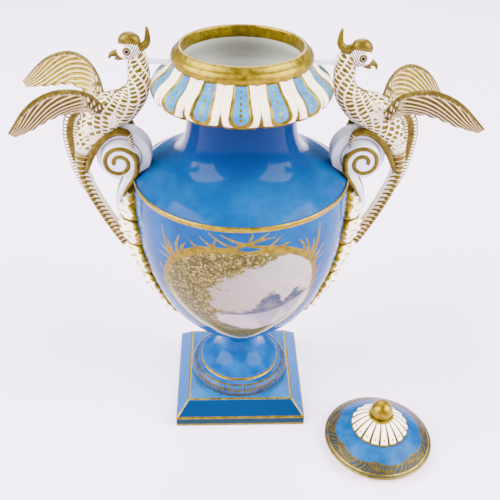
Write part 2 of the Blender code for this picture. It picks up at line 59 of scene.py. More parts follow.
MOUTH_RADIUS = 0.0315
GILT_DEPTH = 0.0076
BODY_WALL = 0.0038
SHOULDER_LEVEL = BODY_BOTTOM + BOWL_HEIGHT
NECK_LEVEL = SHOULDER_LEVEL + SHOULDER_RISE
COLLAR_LEVEL = NECK_LEVEL + NECK_HEIGHT
RIM_LEVEL = COLLAR_LEVEL + COLLAR_HEIGHT
RIM_TOP = RIM_LEVEL + RIM_HEIGHT
POLE = 0.0002
SHOULDER_RADIUS = 0.987 * BODY_RADIUS
MM = 1000
FRONT_HALF = 52
FAR = 50.0


def by_node(kind):
    """A method that adds one Math node for the value and what it is given."""
    return lambda self, *others: self.paint.math(kind, self, *others)


def by_node_reflected(kind):
    """The same with the value in second place, for a number that stands before the sign."""
    return lambda self, other: self.paint.math(kind, other, self)


class Value:
    """A socket of a paint. Arithmetic on it adds one Math node for each operation."""
    __add__, __radd__ = by_node('ADD'), by_node_reflected('ADD')
    __sub__, __rsub__ = by_node('SUBTRACT'), by_node_reflected('SUBTRACT')
    __mul__, __rmul__ = by_node('MULTIPLY'), by_node_reflected('MULTIPLY')
    __truediv__, __pow__, __abs__ = by_node('DIVIDE'), by_node('POWER'), by_node('ABSOLUTE')
    fract, floor, sin = by_node('FRACT'), by_node('FLOOR'), by_node('SINE')
    larger, smaller = by_node('MAXIMUM'), by_node('MINIMUM')

    def __init__(self, paint, socket):
        self.paint = paint
        self.socket = socket

    def __neg__(self):
        return self * -1.0

    def above(self, edge, blur):
        """One where the value is over the edge, with a smooth step as wide as the blur to either side."""
        return self.paint.add('ShaderNodeMapRange', {"interpolation_type": 'SMOOTHSTEP'},
                              {"Value": self, "From Min": edge - blur, "From Max": edge + blur})

    def below(self, edge, blur):
        """One where the value is under the edge."""
        return 1 - self.above(edge, blur)

    def near(self, place, half, blur):
        """One where the value is within half of a place."""
        return abs(self - place).below(half, blur)

    def bars(self, half, blur):
        """Bars as wide as twice the half, once for each whole number that the value passes."""
        return self.fract().near(0.5, half, blur)


class Paint:
    """A material's node tree, with one method that adds any node. Its place is the object's own x, y and z in
    millimetres."""

    def __init__(self, name):
        self.material = bpy.data.materials.new(name)
        self.material.use_nodes = True
        self.tree = self.material.node_tree
        self.shader = self.tree.nodes["Principled BSDF"]
        own = self.add('ShaderNodeTexCoord', output=3)
        parts = [self.add('ShaderNodeSeparateXYZ', sockets={0: own}, output=axis) for axis in range(3)]
        self.place = [part * MM for part in parts]

    def feed(self, socket, value):
        """Link a value to a socket, or set a number on it."""
        if isinstance(value, Value):
            self.tree.links.new(value.socket, socket)
        else:
            socket.default_value = value

    def add(self, kind, settings=(), sockets=(), output=0):
        """Add a node of a kind, with its settings and what its sockets get, and give one output."""
        node = self.tree.nodes.new(kind)
        for name, value in dict(settings).items():
            setattr(node, name, value)
        for name, value in dict(sockets).items():
            self.feed(node.inputs[name], value)
        return Value(self, node.outputs[output])

    def math(self, operation, *values):
        return self.add('ShaderNodeMath', {"operation": operation}, dict(enumerate(values)))

    def mark(self, name):
        """A number that the mesh carries at its points."""
        return self.add('ShaderNodeAttribute', {"attribute_name": name}, output=2)

    def marks(self, *names):
        """Several of them, by name."""
        return [self.mark(name) for name in names]

    def cloud(self, size, detail=3.0, crease=0.5, place=None):
        """Cloudy noise from about 0.3 to 0.7, in cells of about the size in the units of the place."""
        spot = self.add('ShaderNodeCombineXYZ', sockets=dict(enumerate(place or self.place)))
        return self.add('ShaderNodeTexNoise', sockets={"Vector": spot, "Scale": 1 / size, "Detail": detail,
                                                       "Roughness": crease})

    def blend(self, mask, first, second):
        """The first colour where the mask is zero and the second where it is one."""
        return self.add('ShaderNodeMix', {"data_type": 'RGBA'}, {0: mask, 6: first, 7: second}, output=2)

    def clouded(self, first, second, *cloud):
        """Two colours of glaze that run into each other in clouds."""
        return self.blend(self.cloud(*cloud).above(0.5, 0.2), first, second)

    def fire(self, colour, *gilt, bright=1.0):
        """Fired porcelain: the glaze's colour, and gilding where any of the gilt masks is one. The gilding is
        a worn metal, browner or brighter with the share, and its colour and roughness drift in clouds."""
        gold = reduce(Value.larger, gilt)
        drift = self.cloud(3.6, 4.0, 0.6).above(0.5, 0.22)
        brown = self.blend(drift, (0.026, 0.018, 0.004, 1), (0.060, 0.043, 0.009, 1))
        yellow = self.blend(drift, (0.140, 0.090, 0.003, 1), (0.300, 0.208, 0.010, 1))
        ripple = self.add('ShaderNodeBump', sockets={"Strength": 0.12, "Distance": 0.0006,
                                                     "Height": self.cloud(9.0, 2.0) + 0.05 * gold})
        for name, value in (("Base Color", self.blend(gold, colour, self.blend(bright, brown, yellow))),
                            ("Metallic", gold * (0.25 + 0.65 * bright)), ("Specular IOR Level", 0.05),
                            ("Roughness", 0.13 + gold * (0.17 + 0.12 * drift)),
                            ("Normal", ripple)):
            self.feed(self.shader.inputs[name], value)
        return self.material


def tint(red, green, blue):
    """A linear colour that shows as a reading of 0 to 255 a channel under the studio's light. It is the
    inverse of the viewer's film-like curve: a power of the share over a power of what is left to white."""
    share = np.array([red, green, blue]) / 255
    return (*(0.0467 * share ** 1.153 / (1 - 0.97 * share) ** 1.445), 1.0)


def way_along(points):
    """The way along a path to each of its points: the running sum of the steps between them."""
    return np.concatenate([[0], np.cumsum(np.linalg.norm(np.diff(points, axis=0), axis=1))])


def smooth_curve(points, count):
    """Points evenly spaced by chord along a Catmull-Rom curve: between two given points it is the cubic
    whose end slopes are half the chord between their neighbours."""
    points = np.asarray(points, float)
    padded = np.concatenate([2 * points[:1] - points[1:2], points, 2 * points[-1:] - points[-2:-1]])
    spans = len(points) - 1
    before, start, end, after = (padded[shift:shift + spans, None] for shift in range(4))
    t = np.linspace(0, 1, 24, endpoint=False)[:, None]
    fine = 0.5 * (2 * start + (end - before) * t + (2 * before - 5 * start + 4 * end - after) * t ** 2
                  + (3 * start - before - 3 * end + after) * t ** 3)
    fine = np.concatenate([fine.reshape(-1, points.shape[1]), points[-1:]])
    travel = way_along(fine)
    wanted = np.linspace(0, travel[-1], count)
    return np.stack([np.interp(wanted, travel, column) for column in fine.T], axis=1)


def skin(rows, finish=0, ring=False, **marks):
    """A closed skin over rows of points that wrap round: squares between the rows, and a fan from the middle
    of the first and of the last row, or for a ring squares from the last row back to the first. Its volume,
    the sum of point triple products, tells which way it faces."""
    rows = np.asarray(rows, float)
    count, around = rows.shape[:2]
    here = np.arange(count * around).reshape(count, around)
    beside = np.roll(here, -1, axis=1)
    kept = count if ring else count - 1
    squares = np.stack([here, beside, np.roll(beside, -1, axis=0), np.roll(here, -1, axis=0)], axis=-1)
    squares = squares[:kept].reshape(-1, 4)
    points = rows.reshape(-1, 3)
    fans = np.empty((0, 3), int)
    if not ring:
        middle = np.full(around, count * around)
        fans = np.concatenate([np.stack([middle, beside[0], here[0]], axis=-1),
                               np.stack([middle + 1, here[-1], beside[-1]], axis=-1)])
        points = np.concatenate([points, rows[:1].mean(axis=1), rows[-1:].mean(axis=1)])
    halves = np.concatenate([squares[:, :3], squares[:, [0, 2, 3]], fans])
    corner = points[halves] - points.mean(axis=0)
    if np.einsum("ij,ij->", corner[:, 0], np.cross(corner[:, 1], corner[:, 2])) < 0:
        squares, fans = squares[:, ::-1], fans[:, ::-1]
    carried = {}
    for name, value in marks.items():
        value = np.broadcast_to(value, (count, around))
        carried[name] = np.concatenate([value.ravel(), [value[0].mean(), value[-1].mean()]])[:len(points)]
    return {"points": points, "faces": squares.tolist() + fans.tolist(), "marks": carried, "finish": finish}


def piece(name, skins, materials, node):
    """One object made of closed skins, standing for a CAD node."""
    mesh = bpy.data.meshes.new(name)
    faces, finishes, start = [], [], 0
    for part in skins:
        faces += [[corner + start for corner in face] for face in part["faces"]]
        finishes += [part["finish"]] * len(part["faces"])
        start += len(part["points"])
    mesh.from_pydata(np.concatenate([part["points"] for part in skins]), [], faces)
    mesh.polygons.foreach_set("material_index", finishes)
    for mark in sorted({mark for part in skins for mark in part["marks"]}):
        values = [part["marks"].get(mark, np.zeros(len(part["points"]))) for part in skins]
        attribute = mesh.attributes.new(mark, 'FLOAT', 'POINT')
        attribute.data.foreach_set("value", np.concatenate(values).astype(np.float32))
    mesh.shade_smooth()
    for material in materials:
        mesh.materials.append(material)
    made = bpy.data.objects.new(name, mesh)
    bpy.context.scene.collection.objects.link(made)
    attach(made, "root")
    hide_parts(node)


def spots(x, y, z):
    """Points from their three coordinates, each a number or an array."""
    return np.stack(np.broadcast_arrays(x, y, z), axis=-1)


def swept(radius, level, angle, centre=(0, 0)):
    """Points round an upright axis: x = r cos a and y = r sin a from the centre."""
    return spots(centre[0] + radius * np.cos(angle), centre[1] + radius * np.sin(angle), level)


def turned(profile, angles, centre=(0, 0)):
    """Rows of a turned form: each row of radius and height goes round."""
    return swept(*np.asarray(profile, float).T[:, :, None], angles, centre)


def by_shares(shares, reach, tall, level, inner=0.0):
    """Rows of radius and height from shares of a reach and of a height over a level."""
    return np.array(shares) * (reach, tall) + (inner, level)


def arc(start, end, count, reach, tall, level, inner):
    """Rows along an ellipse: cosine and sine of the angle, which goes from start to end in half turns."""
    angle = np.linspace(start * np.pi, end * np.pi, count)
    return by_shares(np.stack([np.cos(angle), np.sin(angle)], axis=1), reach, tall, level, inner)


bowl_curve = smooth_curve(by_shares([(0.178, 0), (0.200, 0.026), (0.280, 0.073), (0.518, 0.178),
                                     (0.745, 0.317), (0.893, 0.490), (0.971, 0.663), (0.998, 0.837),
                                     (0.987, 1)],
                                    BODY_RADIUS, BOWL_HEIGHT, BODY_BOTTOM), 900)
shoulder = by_shares([(0.985, 0.01), (0.93, 0.10), (0.76, 0.30), (0.50, 0.48), (0.27, 0.68), (0.11, 1)],
                     SHOULDER_RADIUS - NECK_RADIUS, SHOULDER_RISE, SHOULDER_LEVEL, NECK_RADIUS)
neck = by_shares([(1.016, 0.33), (1, 0.66), (1.03, 1)], NECK_RADIUS, NECK_HEIGHT, NECK_LEVEL)
under_collar = by_shares([(0.70, 0.06), (0.873, 0.18), (0.903, 0.36), (0.873, 0.54), (0.79, 0.79)],
                         COLLAR_RADIUS, COLLAR_HEIGHT, COLLAR_LEVEL)
rim_curve = smooth_curve(by_shares([(0.84, -0.15), (0.97, 0.08), (1, 0.27), (0.965, 0.42), (0.83, 0.60),
                                    (0.66, 0.70), (0.52, 0.82), (0.40, 0.95), (0.24, 1), (0.09, 0.99),
                                    (0.01, 0.90), (0, 0.78)],
                                   RIM_RADIUS - MOUTH_RADIUS, RIM_HEIGHT, RIM_LEVEL, MOUTH_RADIUS), 40)
upper_curve = np.concatenate([smooth_curve(np.concatenate([shoulder, neck]), 50), under_collar])
bead_curve = arc(-0.45, 0.62, 8, 0.66 * SHOULDER_BEAD, 0.9 * SHOULDER_BEAD, SHOULDER_LEVEL, SHOULDER_RADIUS)
low_bowl, side_bowl, high_bowl = bowl_curve[:330:12], bowl_curve[330:690:7], bowl_curve[690:894:4]
inner_side = smooth_curve(np.concatenate([
    by_shares([(0, -0.35), (0, -0.9), (0.0004, -1)], 1, GILT_DEPTH, RIM_TOP, MOUTH_RADIUS),
    [(MOUTH_RADIUS + 0.003, RIM_LEVEL - 0.004)],
    by_shares([(0.76, 0.6), (0.81, 0.36), (0.70, 0.16)], COLLAR_RADIUS, COLLAR_HEIGHT, COLLAR_LEVEL),
    [(MOUTH_RADIUS - 0.004, COLLAR_LEVEL - 0.001), (NECK_RADIUS - BODY_WALL, NECK_LEVEL + 0.6 * NECK_HEIGHT),
     (NECK_RADIUS - 0.9 * BODY_WALL, NECK_LEVEL), (0.80 * BODY_RADIUS, SHOULDER_LEVEL + 0.001),
     (BODY_RADIUS - BODY_WALL, SHOULDER_LEVEL - 0.016),
     (0.893 * BODY_RADIUS - BODY_WALL, BODY_BOTTOM + 0.49 * BOWL_HEIGHT)],
    by_shares([(0.50, 0.23), (0.20, 0.11)], BODY_RADIUS, BOWL_HEIGHT, BODY_BOTTOM),
    [(POLE, BODY_BOTTOM + 0.011)]]), 48)
shell_parts = [[(POLE, BODY_BOTTOM)], low_bowl, side_bowl, high_bowl, bead_curve, upper_curve, rim_curve,
               inner_side]
shell_profile = np.concatenate(shell_parts)
along = way_along(shell_profile) * MM
counts = np.cumsum([len(part) for part in shell_parts])
bead_start, bead_end, rim_start, rim_end = along[counts[[3, 4, 5, 6]] - 1]
columns = np.concatenate([np.linspace(-FRONT_HALF, FRONT_HALF, 190, endpoint=False),
                          np.linspace(FRONT_HALF, 360 - FRONT_HALF, 92, endpoint=False)])
arc_step = np.radians(BODY_RADIUS * MM) * 0.985
fold = np.where(columns > 180, columns - 360, columns)
across_front, up_front = np.meshgrid(fold * arc_step, along)


def on_bowl(places):
    """Places of angle in degrees and height in millimetres, laid flat as arc lengths on the bowl."""
    places = np.array(places, float)
    level = np.interp(places[:, 1], shell_profile[1:counts[3], 1] * MM, along[1:counts[3]])
    return np.stack([places[:, 0] * arc_step, level], axis=1)


def strokes(fields):
    """How far each point is outside the nearest of some tapered brush strokes, in millimetres: the distance
    to the centre line of each less its half width there, and the least of these. Rows more than the margin
    from a stroke are passed over."""
    margin = 6
    nearest = np.full(across_front.shape, FAR)
    for places, widths in fields:
        line = on_bowl(places)
        line = smooth_curve(line, 160) if len(line) > 2 else np.linspace(line[0], line[1], 60)
        half = np.interp(np.linspace(0, 1, len(line)), np.linspace(0, 1, len(widths)), widths)
        rows = np.flatnonzero((along > line[:, 1].min() - margin) & (along < line[:, 1].max() + margin))
        spot_x, spot_y = across_front[rows][..., None], up_front[rows][..., None]
        gap = (np.hypot(spot_x - line[:, 0], spot_y - line[:, 1]) - half).min(axis=-1)
        nearest[rows] = np.minimum(nearest[rows], gap)
    return nearest


frame_strokes = [
    ([(-36.5, 140), (-33, 144.5), (-27, 148.6), (-21.4, 151.7), (-12, 152.8), (-4, 153), (3, 151.8),
      (9, 151.3)], (1.6, 2.3, 2.2, 2, 1.7, 1.2, 0.9, 0.3)),
    ([(-15, 153.4), (-4.1, 154.7), (0.6, 156.9), (6, 159), (12.7, 163.6)], (0.8, 0.9, 0.8, 0.6, 0.25)),
    ([(-3, 156.6), (4, 158), (9, 159.6), (15.5, 160.2)], (0.5, 0.8, 0.6, 0.25)),
    ([(36.5, 140), (33, 144), (29.5, 147), (22, 151.2), (16, 153.4), (8, 155.4), (0.6, 157.2), (-6, 159.6),
      (-11.8, 162.6)], (1.6, 2.2, 2.1, 1.9, 1.5, 1, 0.9, 0.6, 0.25)),
    ([(24, 149.8), (14, 151.8), (6, 152.6), (-3, 151.2)], (1.2, 1.3, 0.9, 0.3)),
    ([(-4, 155), (-9, 156.8), (-13, 159.2), (-17, 162.6)], (0.6, 0.7, 0.5, 0.25)),
    ([(-12, 153.6), (-17.3, 155.8), (-21.8, 159.6)], (0.8, 0.7, 0.25)),
    ([(-15, 153.6), (-14.4, 156.6), (-13.2, 160)], (0.7, 0.6, 0.25)),
    ([(-22, 152.4), (-25.5, 154.2), (-27.4, 156.8)], (0.8, 0.6, 0.25)),
    ([(2, 157), (3.4, 160), (4.6, 163.4)], (0.6, 0.6, 0.25)),
    ([(12, 154.6), (15.2, 157.2), (18.2, 160.2)], (0.7, 0.6, 0.25)),
    ([(17, 153.2), (20.6, 155), (24.2, 155.6)], (0.7, 0.6, 0.25)),
    ([(-37, 140.5), (-41, 143.5), (-46.5, 146.2)], (1.1, 0.9, 0.25)),
    ([(-36.5, 141), (-41.5, 147.5), (-44.4, 158.4)], (1.2, 1, 0.3)),
    ([(-36, 142), (-38.6, 147), (-40.6, 151.6)], (1.1, 0.9, 0.3)),
    ([(-34, 144), (-35, 150.5), (-33.2, 156.6)], (1.1, 1, 0.3)),
    ([(-32, 146), (-31.6, 150), (-29.4, 153.8)], (1, 0.8, 0.25)),
    ([(-38, 139), (-43, 139.5), (-47.8, 140.6)], (1, 0.7, 0.25)),
    ([(37, 140.5), (40.6, 149), (41.8, 161.6)], (1.3, 1.1, 0.3)),
    ([(36, 141.5), (37.6, 147), (38, 152.6)], (1.1, 0.9, 0.3)),
    ([(34.5, 143), (34.6, 149.5), (32.8, 154.6)], (1.1, 0.9, 0.3)),
    ([(32, 145.5), (31.6, 151), (28.4, 155.8)], (1, 0.8, 0.25)),
    ([(38, 139), (42.4, 141.8), (46.4, 146.8)], (1, 0.8, 0.25)),
    ([(38.5, 138), (43, 138), (47, 139.6)], (0.9, 0.7, 0.25)),
    ([(-37, 141), (-42.1, 133), (-45.5, 123.7), (-46.4, 115.2), (-45.1, 109.3), (-41.9, 104.3), (-37.6, 98.4),
      (-30.6, 91.7), (-22.9, 87)], (2, 1.9, 1.7, 1.5, 1.2, 1, 0.8, 0.6, 0.3)),
    ([(37.4, 141), (41.1, 129.2), (41.9, 117.2), (41.4, 107.3), (38.5, 101.8), (33.2, 95), (23.9, 88.4)],
     (2, 1.8, 1.5, 1.1, 0.9, 0.7, 0.3)),
    ([(-44, 127), (-47.4, 129), (-48.8, 133.6)], (0.9, 0.7, 0.25)),
    ([(-46.4, 117), (-49, 119.6), (-49.6, 124.4)], (0.8, 0.6, 0.25)),
    ([(-45.4, 109), (-48.4, 110.8), (-49.8, 115)], (0.7, 0.6, 0.25)),
    ([(41.4, 126), (44.4, 128.6), (45.6, 133.2)], (0.9, 0.7, 0.25)),
    ([(41.9, 115), (44.6, 117.6), (45.4, 122)], (0.8, 0.6, 0.25)),
    ([(41, 106.5), (43.8, 109), (44.8, 113.2)], (0.7, 0.5, 0.25))]
gilt_field = strokes(frame_strokes)
picture_edge = smooth_curve(on_bowl([
    (-33, 142.8), (-21.5, 149.8), (-10, 151.6), (0.7, 152.2), (10, 151.8), (18, 150.6), (26, 147.6),
    (32.6, 143.4), (37, 138), (40, 129), (40.8, 117), (40.2, 107.5), (37, 101), (31.6, 94.5), (22.5, 87.5),
    (10, 76.5), (1, 71), (-9, 75.5), (-17, 81.5), (-22, 86.8), (-30, 91.8), (-37, 98.6), (-41.5, 104.6),
    (-44.4, 109.6), (-45.6, 115.4), (-44.7, 123.6), (-41.4, 132.8), (-36.5, 139.6), (-33, 142.8)]), 400)
picture_middle = on_bowl([(0, 118)])[0]


def from_middle(x, y):
    """The turn and the reach of places, seen from the picture's middle."""
    x, y = x - picture_middle[0], y - picture_middle[1]
    return np.arctan2(x, y), np.hypot(x, y)


edge_turn, edge_reach = from_middle(*picture_edge.T)
spot_turn, spot_reach = from_middle(across_front, up_front)
order = np.argsort(edge_turn)
picture_field = np.interp(spot_turn, edge_turn[order], edge_reach[order], period=2 * np.pi) - spot_reach
off_front = (np.abs(fold)[None, :] > FRONT_HALF - 1) | (np.arange(len(along))[:, None] >= counts[3])
gilt_field[off_front] = FAR
picture_field[off_front] = -FAR
leaf_field = np.interp(shell_profile[:, 1:2] * MM, [95, 109, 113, 118, 126, 134, 139, 142, 144, 147, 150],
                       [-16, -11.6, -15.5, -16.8, -14, -9.1, -3, 3, 11, 19, 26]) - fold[None, :]
tree_top = np.interp(fold, [-30, -14, -6, -2, 2, 5, 9, 13, 17, 20, 23, 26, 30, 34, 40],
                     [106, 106.5, 107.5, 108, 108.5, 109.5, 115, 122, 125, 119, 112.5, 118, 123, 121, 114])
shore = np.interp(fold, [-40, -20, -8, 0, 12, 22, 32, 42], [104, 105, 106.2, 106.4, 107.2, 109.5, 113.5, 118])
ground_top = np.interp(fold, [-46, -34, -20, -12, -1, 8, 18, 28, 34, 42],
                       [112, 106, 99.5, 96.5, 91.5, 89.5, 91.5, 96.5, 101, 106])


def turquoise_glaze():
    """Cloudy turquoise, darker up the neck as painted shade under the collar, with a painted landscape: sky,
    far trees with their shore and reflection, pale water, an olive bank, and leaves at the left and top, each
    bounded by a line of the picture made rough by noise. Each colour in the list is laid over those before it
    by its mask."""
    paint = Paint("turquoise_glaze")
    x, y, z = paint.place
    turn = paint.math('ARCTAN2', x, -y) * np.degrees(1)
    travel, gilt, inside_picture, leaf_line = paint.marks("along", "gilt", "picture", "leaves")
    tree_place, shore_line, ground_place = paint.marks("tree_top", "shore", "ground_top")
    small = paint.cloud(5.0, 4.0, 0.6).above(0.5, 0.25)
    blue = paint.clouded((0.0003, 0.033, 0.132, 1), (0.0014, 0.062, 0.195, 1), 26.0, 3.0, 0.55)
    blue = paint.blend(small * 0.4, blue, (0.0002, 0.027, 0.104, 1))
    # Painted shade: the blue turns darker above the shoulder, standing for the collar's shadow on the neck.
    blue = paint.blend(z.above(SHOULDER_LEVEL * MM + 14, 13.0), blue, (0.0002, 0.015, 0.076, 1))
    stipple = paint.cloud(0.85, 5.0, 0.7, (turn, z, 0.0))
    drift = paint.cloud(7.0, 4.0, 0.6, (turn, 1.6 * z, 4.0))
    streaks = paint.cloud(0.9, 4.0, 0.6, (turn * 0.16, z, 2.0))
    gaps = paint.cloud(1.7, 5.0, 0.75, (turn, z, 9.0))
    fine, broad = stipple - 0.5, drift - 0.5
    tree_line = tree_place + fine * 17.0 + broad * 14.0
    trees = (tree_line - z).above(0.0, 1.6) * (z - shore_line).above(-1.0, 0.8)
    shore_shade = (z - shore_line).near(0.0, 0.8, 0.9) * turn.above(-12.0, 5.0)
    water = (shore_line - z).above(0.0, 0.5)
    ripples = paint.blend(streaks.above(0.5, 0.12), tint(196, 194, 200), tint(214, 206, 202))
    mirrored = (2 * shore_line - z - tree_line + 4).below(4.0, 5.0)
    ground_line = ground_place + fine * 4.0 + broad * 5.0
    dirt = paint.blend(streaks.above(0.5, 0.1), tint(120, 122, 58), tint(156, 156, 94))
    dirt = paint.blend(stipple.above(0.5, 0.1) * streaks.above(0.52, 0.1), dirt, tint(96, 72, 40))
    dark_bank = (ground_line - z).near(1.5, 2.4, 1.8) * (-turn).above(2.0, 12.0) * stipple.above(0.44, 0.1)
    leaves = (leaf_line + (fine * 26.0 + broad * 34.0)).above(0.0, 1.3)
    lit = paint.blend(drift.above(0.5, 0.10), tint(140, 134, 56), tint(180, 172, 96))
    leaf_colour = paint.blend(stipple.above(0.49, 0.09), tint(80, 72, 24), lit)
    leaf_colour = paint.blend(gaps.above(0.58, 0.06) * 0.75, leaf_colour, tint(214, 200, 168))
    leaf_colour = paint.blend(gaps.near(0.38, 0.05, 0.04) * 0.7, leaf_colour, tint(104, 80, 40))
    lean = turn + 0.28 * (z - 110) + broad * 7.0
    trunk = lean.near(-25.0, 0.9, 0.5).larger(lean.near(-31.0, 0.6, 0.4)) * (z - ground_line).above(-2.0, 1.5)
    fade = (inside_picture + fine * 1.5).below(3.5, 3.5)
    picture = paint.blend((z / 100 - 1).above(0.32, 0.26), tint(194, 183, 172), tint(184, 184, 184))
    for mask, layer in (((turn / 40).above(0.15, 0.8) * 0.7, tint(214, 208, 204)),
                        ((drift - 0.42).above(0.1, 0.12) * 0.4, tint(186, 184, 192)),
                        (trees * (0.5 + 0.8 * drift), tint(96, 110, 138)),
                        (water, ripples),
                        (water * mirrored * turn.above(4.0, 3.0) * 0.5, tint(140, 146, 174)),
                        (shore_shade * 0.75, tint(118, 122, 150)),
                        ((ground_line - z).above(0.0, 0.8), dirt),
                        (dark_bank * 0.8, tint(92, 66, 40)),
                        (leaves * (z - ground_line).above(-3.0, 3.0), leaf_colour),
                        (trunk * 0.45 * z.below(130.0, 6.0), tint(104, 80, 46)),
                        (fade * z.below(112.0, 8.0) * 0.6, tint(222, 218, 208))):
        picture = paint.blend(mask, picture, layer)
    colour = paint.blend(inside_picture.above(0.1, 0.25), blue, picture)
    white_inside = travel.above(rim_end + GILT_DEPTH * 650, 0.2)
    colour = paint.blend(white_inside, colour, tint(207, 207, 203))
    reeds = (gilt + (small - 0.5) * 0.25).below(0.0, 0.16)
    bead = travel.above(bead_start - 0.8, 0.1) * travel.below(bead_end + 0.7, 0.1)
    rim = travel.above(rim_start, 0.2) * (1 - white_inside)
    return paint.fire(colour, reeds, bead, rim, bright=0.52 + 0.22 * rim + 0.48 * bead)


vase_skin = skin(turned(shell_profile, np.radians(columns - 90)), along=along[:, None], gilt=gilt_field,
                 picture=picture_field, leaves=leaf_field, tree_top=tree_top[None, :], shore=shore[None, :],
                 ground_top=ground_top[None, :])
piece("vase_shell", [vase_skin], [turquoise_glaze()], "vase_body")


# Tongue collar. A ring of fifteen moulded tongues under the rim, pressed in white porcelain with the vase.
# Each has a sunk blue panel with gilt beading, gilt outlines and a slit between it and the next.
TONGUE_COUNT = 15
TONGUE_OFFSET = np.radians(-2.0)
SLIT_DEPTH = 0.0016
PANEL_DEPTH = 0.0009
BEADS = 7
BEAD_START = 0.27
BEAD_STEP = 0.108
collar_curve = smooth_curve(by_shares([(0.66, 0.0), (0.80, -0.002), (0.90, 0.0), (0.945, 0.035), (0.98, 0.13),
                                       (1.0, 0.34), (0.94, 0.56), (0.83, 0.77), (0.74, 1.06)],
                                      COLLAR_RADIUS, COLLAR_HEIGHT, COLLAR_LEVEL), 84)


def tongue_collar():
    """The collar's skin: the radius dips by a slit, where the place in the tongue is near its edge and low,
    and by a panel, a flat-bottomed dip over the middle that is wider below and ends in an arc."""
    around = np.linspace(0, 1, 30 * TONGUE_COUNT, endpoint=False)
    place = (around * TONGUE_COUNT) % 1
    angle = around * 2 * np.pi - np.pi / TONGUE_COUNT + TONGUE_OFFSET - np.pi / 2
    inner = turned([(0.0350, RIM_LEVEL + 0.0010), (0.0370, RIM_LEVEL - 0.0045),
                    (0.0415, COLLAR_LEVEL + 0.0097), (0.0415, COLLAR_LEVEL + 0.0057),
                    (0.0330, COLLAR_LEVEL + 0.0016)], angle)
    profile = np.concatenate([collar_curve, inner[:, 0, [0, 2]]])
    high = ((profile[:, 1:2] - COLLAR_LEVEL) / COLLAR_HEIGHT)
    high[:6] = 0.0
    from_edge = np.minimum(place, 1 - place)
    slit = np.clip(1.5 - from_edge / (0.075 * np.clip(1 - high / 0.62, 0, 1) + 0.012), 0, 1) * (high < 0.85)
    slit = slit * np.clip(1 - high / 0.85, 0, 1) * np.clip(high / 0.02 + 0.4, 0, 1)
    crown = 0.0010 * (1 - (2 * np.abs(place - 0.5)) ** 4) * np.clip(high / 0.1, 0, 1)
    half_panel = 0.255 - 0.065 * np.clip(high, 0, 1.1)
    from_panel = np.hypot((place - 0.5) / half_panel, np.clip((0.42 - high) / 0.26, 0, None))
    panel = np.clip((1.06 - from_panel) / 0.10, 0, 1)
    radius, level = collar_curve.T[:, :, None]
    depth = SLIT_DEPTH * slit + PANEL_DEPTH * panel - crown + 0.0006
    outer = swept(radius - depth[:len(collar_curve)], level, angle)
    across = (place - 0.5)[None, :] * 2 * np.pi / TONGUE_COUNT * profile[:, :1] * MM
    return skin(np.concatenate([outer, inner]), ring=True, panel=from_panel, slit=slit, high=high,
                middle=across)


def collar_finish():
    """White tongues: blue in the panels, gilt along their edges, in the slits and on the lower lip, and seven
    gilt beads down each panel that grow towards the lip."""
    paint = Paint("collar_glaze")
    panel, slit, high, middle = paint.marks("panel", "slit", "high", "middle")
    wear = (paint.cloud(1.6) - 0.5) * 0.10
    blue = paint.clouded((0.012, 0.115, 0.270, 1), (0.034, 0.185, 0.350, 1), 6.0)
    colour = paint.blend(panel.below(0.90, 0.03), tint(232, 228, 222), blue)
    outline = (panel + wear).near(1.08, 0.22, 0.04) * high.below(1.02, 0.02)
    step = (high - BEAD_START) / BEAD_STEP
    spot = ((step.fract() - 0.5) * 2.2) ** 2 + middle ** 2
    size = 0.85 - 0.075 * step.floor()
    beads = spot.below(size * size, 0.12) * high.above(BEAD_START, 0.002)
    beads = beads * high.below(BEAD_START + BEAD_STEP * BEADS, 0.002)
    wedge = (slit + wear).above(0.42, 0.10)
    lip = (high + wear * 0.2).below(0.15, 0.015)
    shade = 1 - outline.larger(beads) * 0.55
    return paint.fire(colour, outline, beads, wedge, lip, bright=0.75 - 0.4 * shade)


piece("tongue_collar", [tongue_collar()], [collar_finish()], "vase_body")


# Bird handles. Two crested birds pressed in piece moulds, luted to the shoulder wet and fired with the vase.
# They are white, with brown-gold feather strokes, and stand on a double scroll; the tail runs down as a strap
# to a white acanthus mount with scalloped gilt edges along the bowl.
BIRD_HEIGHT = 0.100
BIRD_UNIT = BIRD_HEIGHT / 100
BIRD_FOOT_LEVEL = SHOULDER_LEVEL - 17 * BIRD_UNIT
SCROLL_WIDTH = 0.0236
MOUNT_LENGTH = 0.75 * BOWL_HEIGHT
MOUNT_DEPTH = 0.0118
MOUNT_LOBES = 5
WING_FEATHERS = 9
WING_LEAN = 0.75
WING_THICKNESS = 0.0026
HALF_SCROLL = 0.5 * SCROLL_WIDTH / BIRD_UNIT
TRUNK, WING, SCROLL, COIL, MOUNT, HEAD, BEAK, PLUME, STRAP = range(9)


def handle_point(side, out, up, depth=0.0):
    """A point of a handle, from hundredths of the bird's height out from the bowl, up and across."""
    return spots(side * (BODY_RADIUS + out * BIRD_UNIT), depth * BIRD_UNIT, BIRD_FOOT_LEVEL + up * BIRD_UNIT)


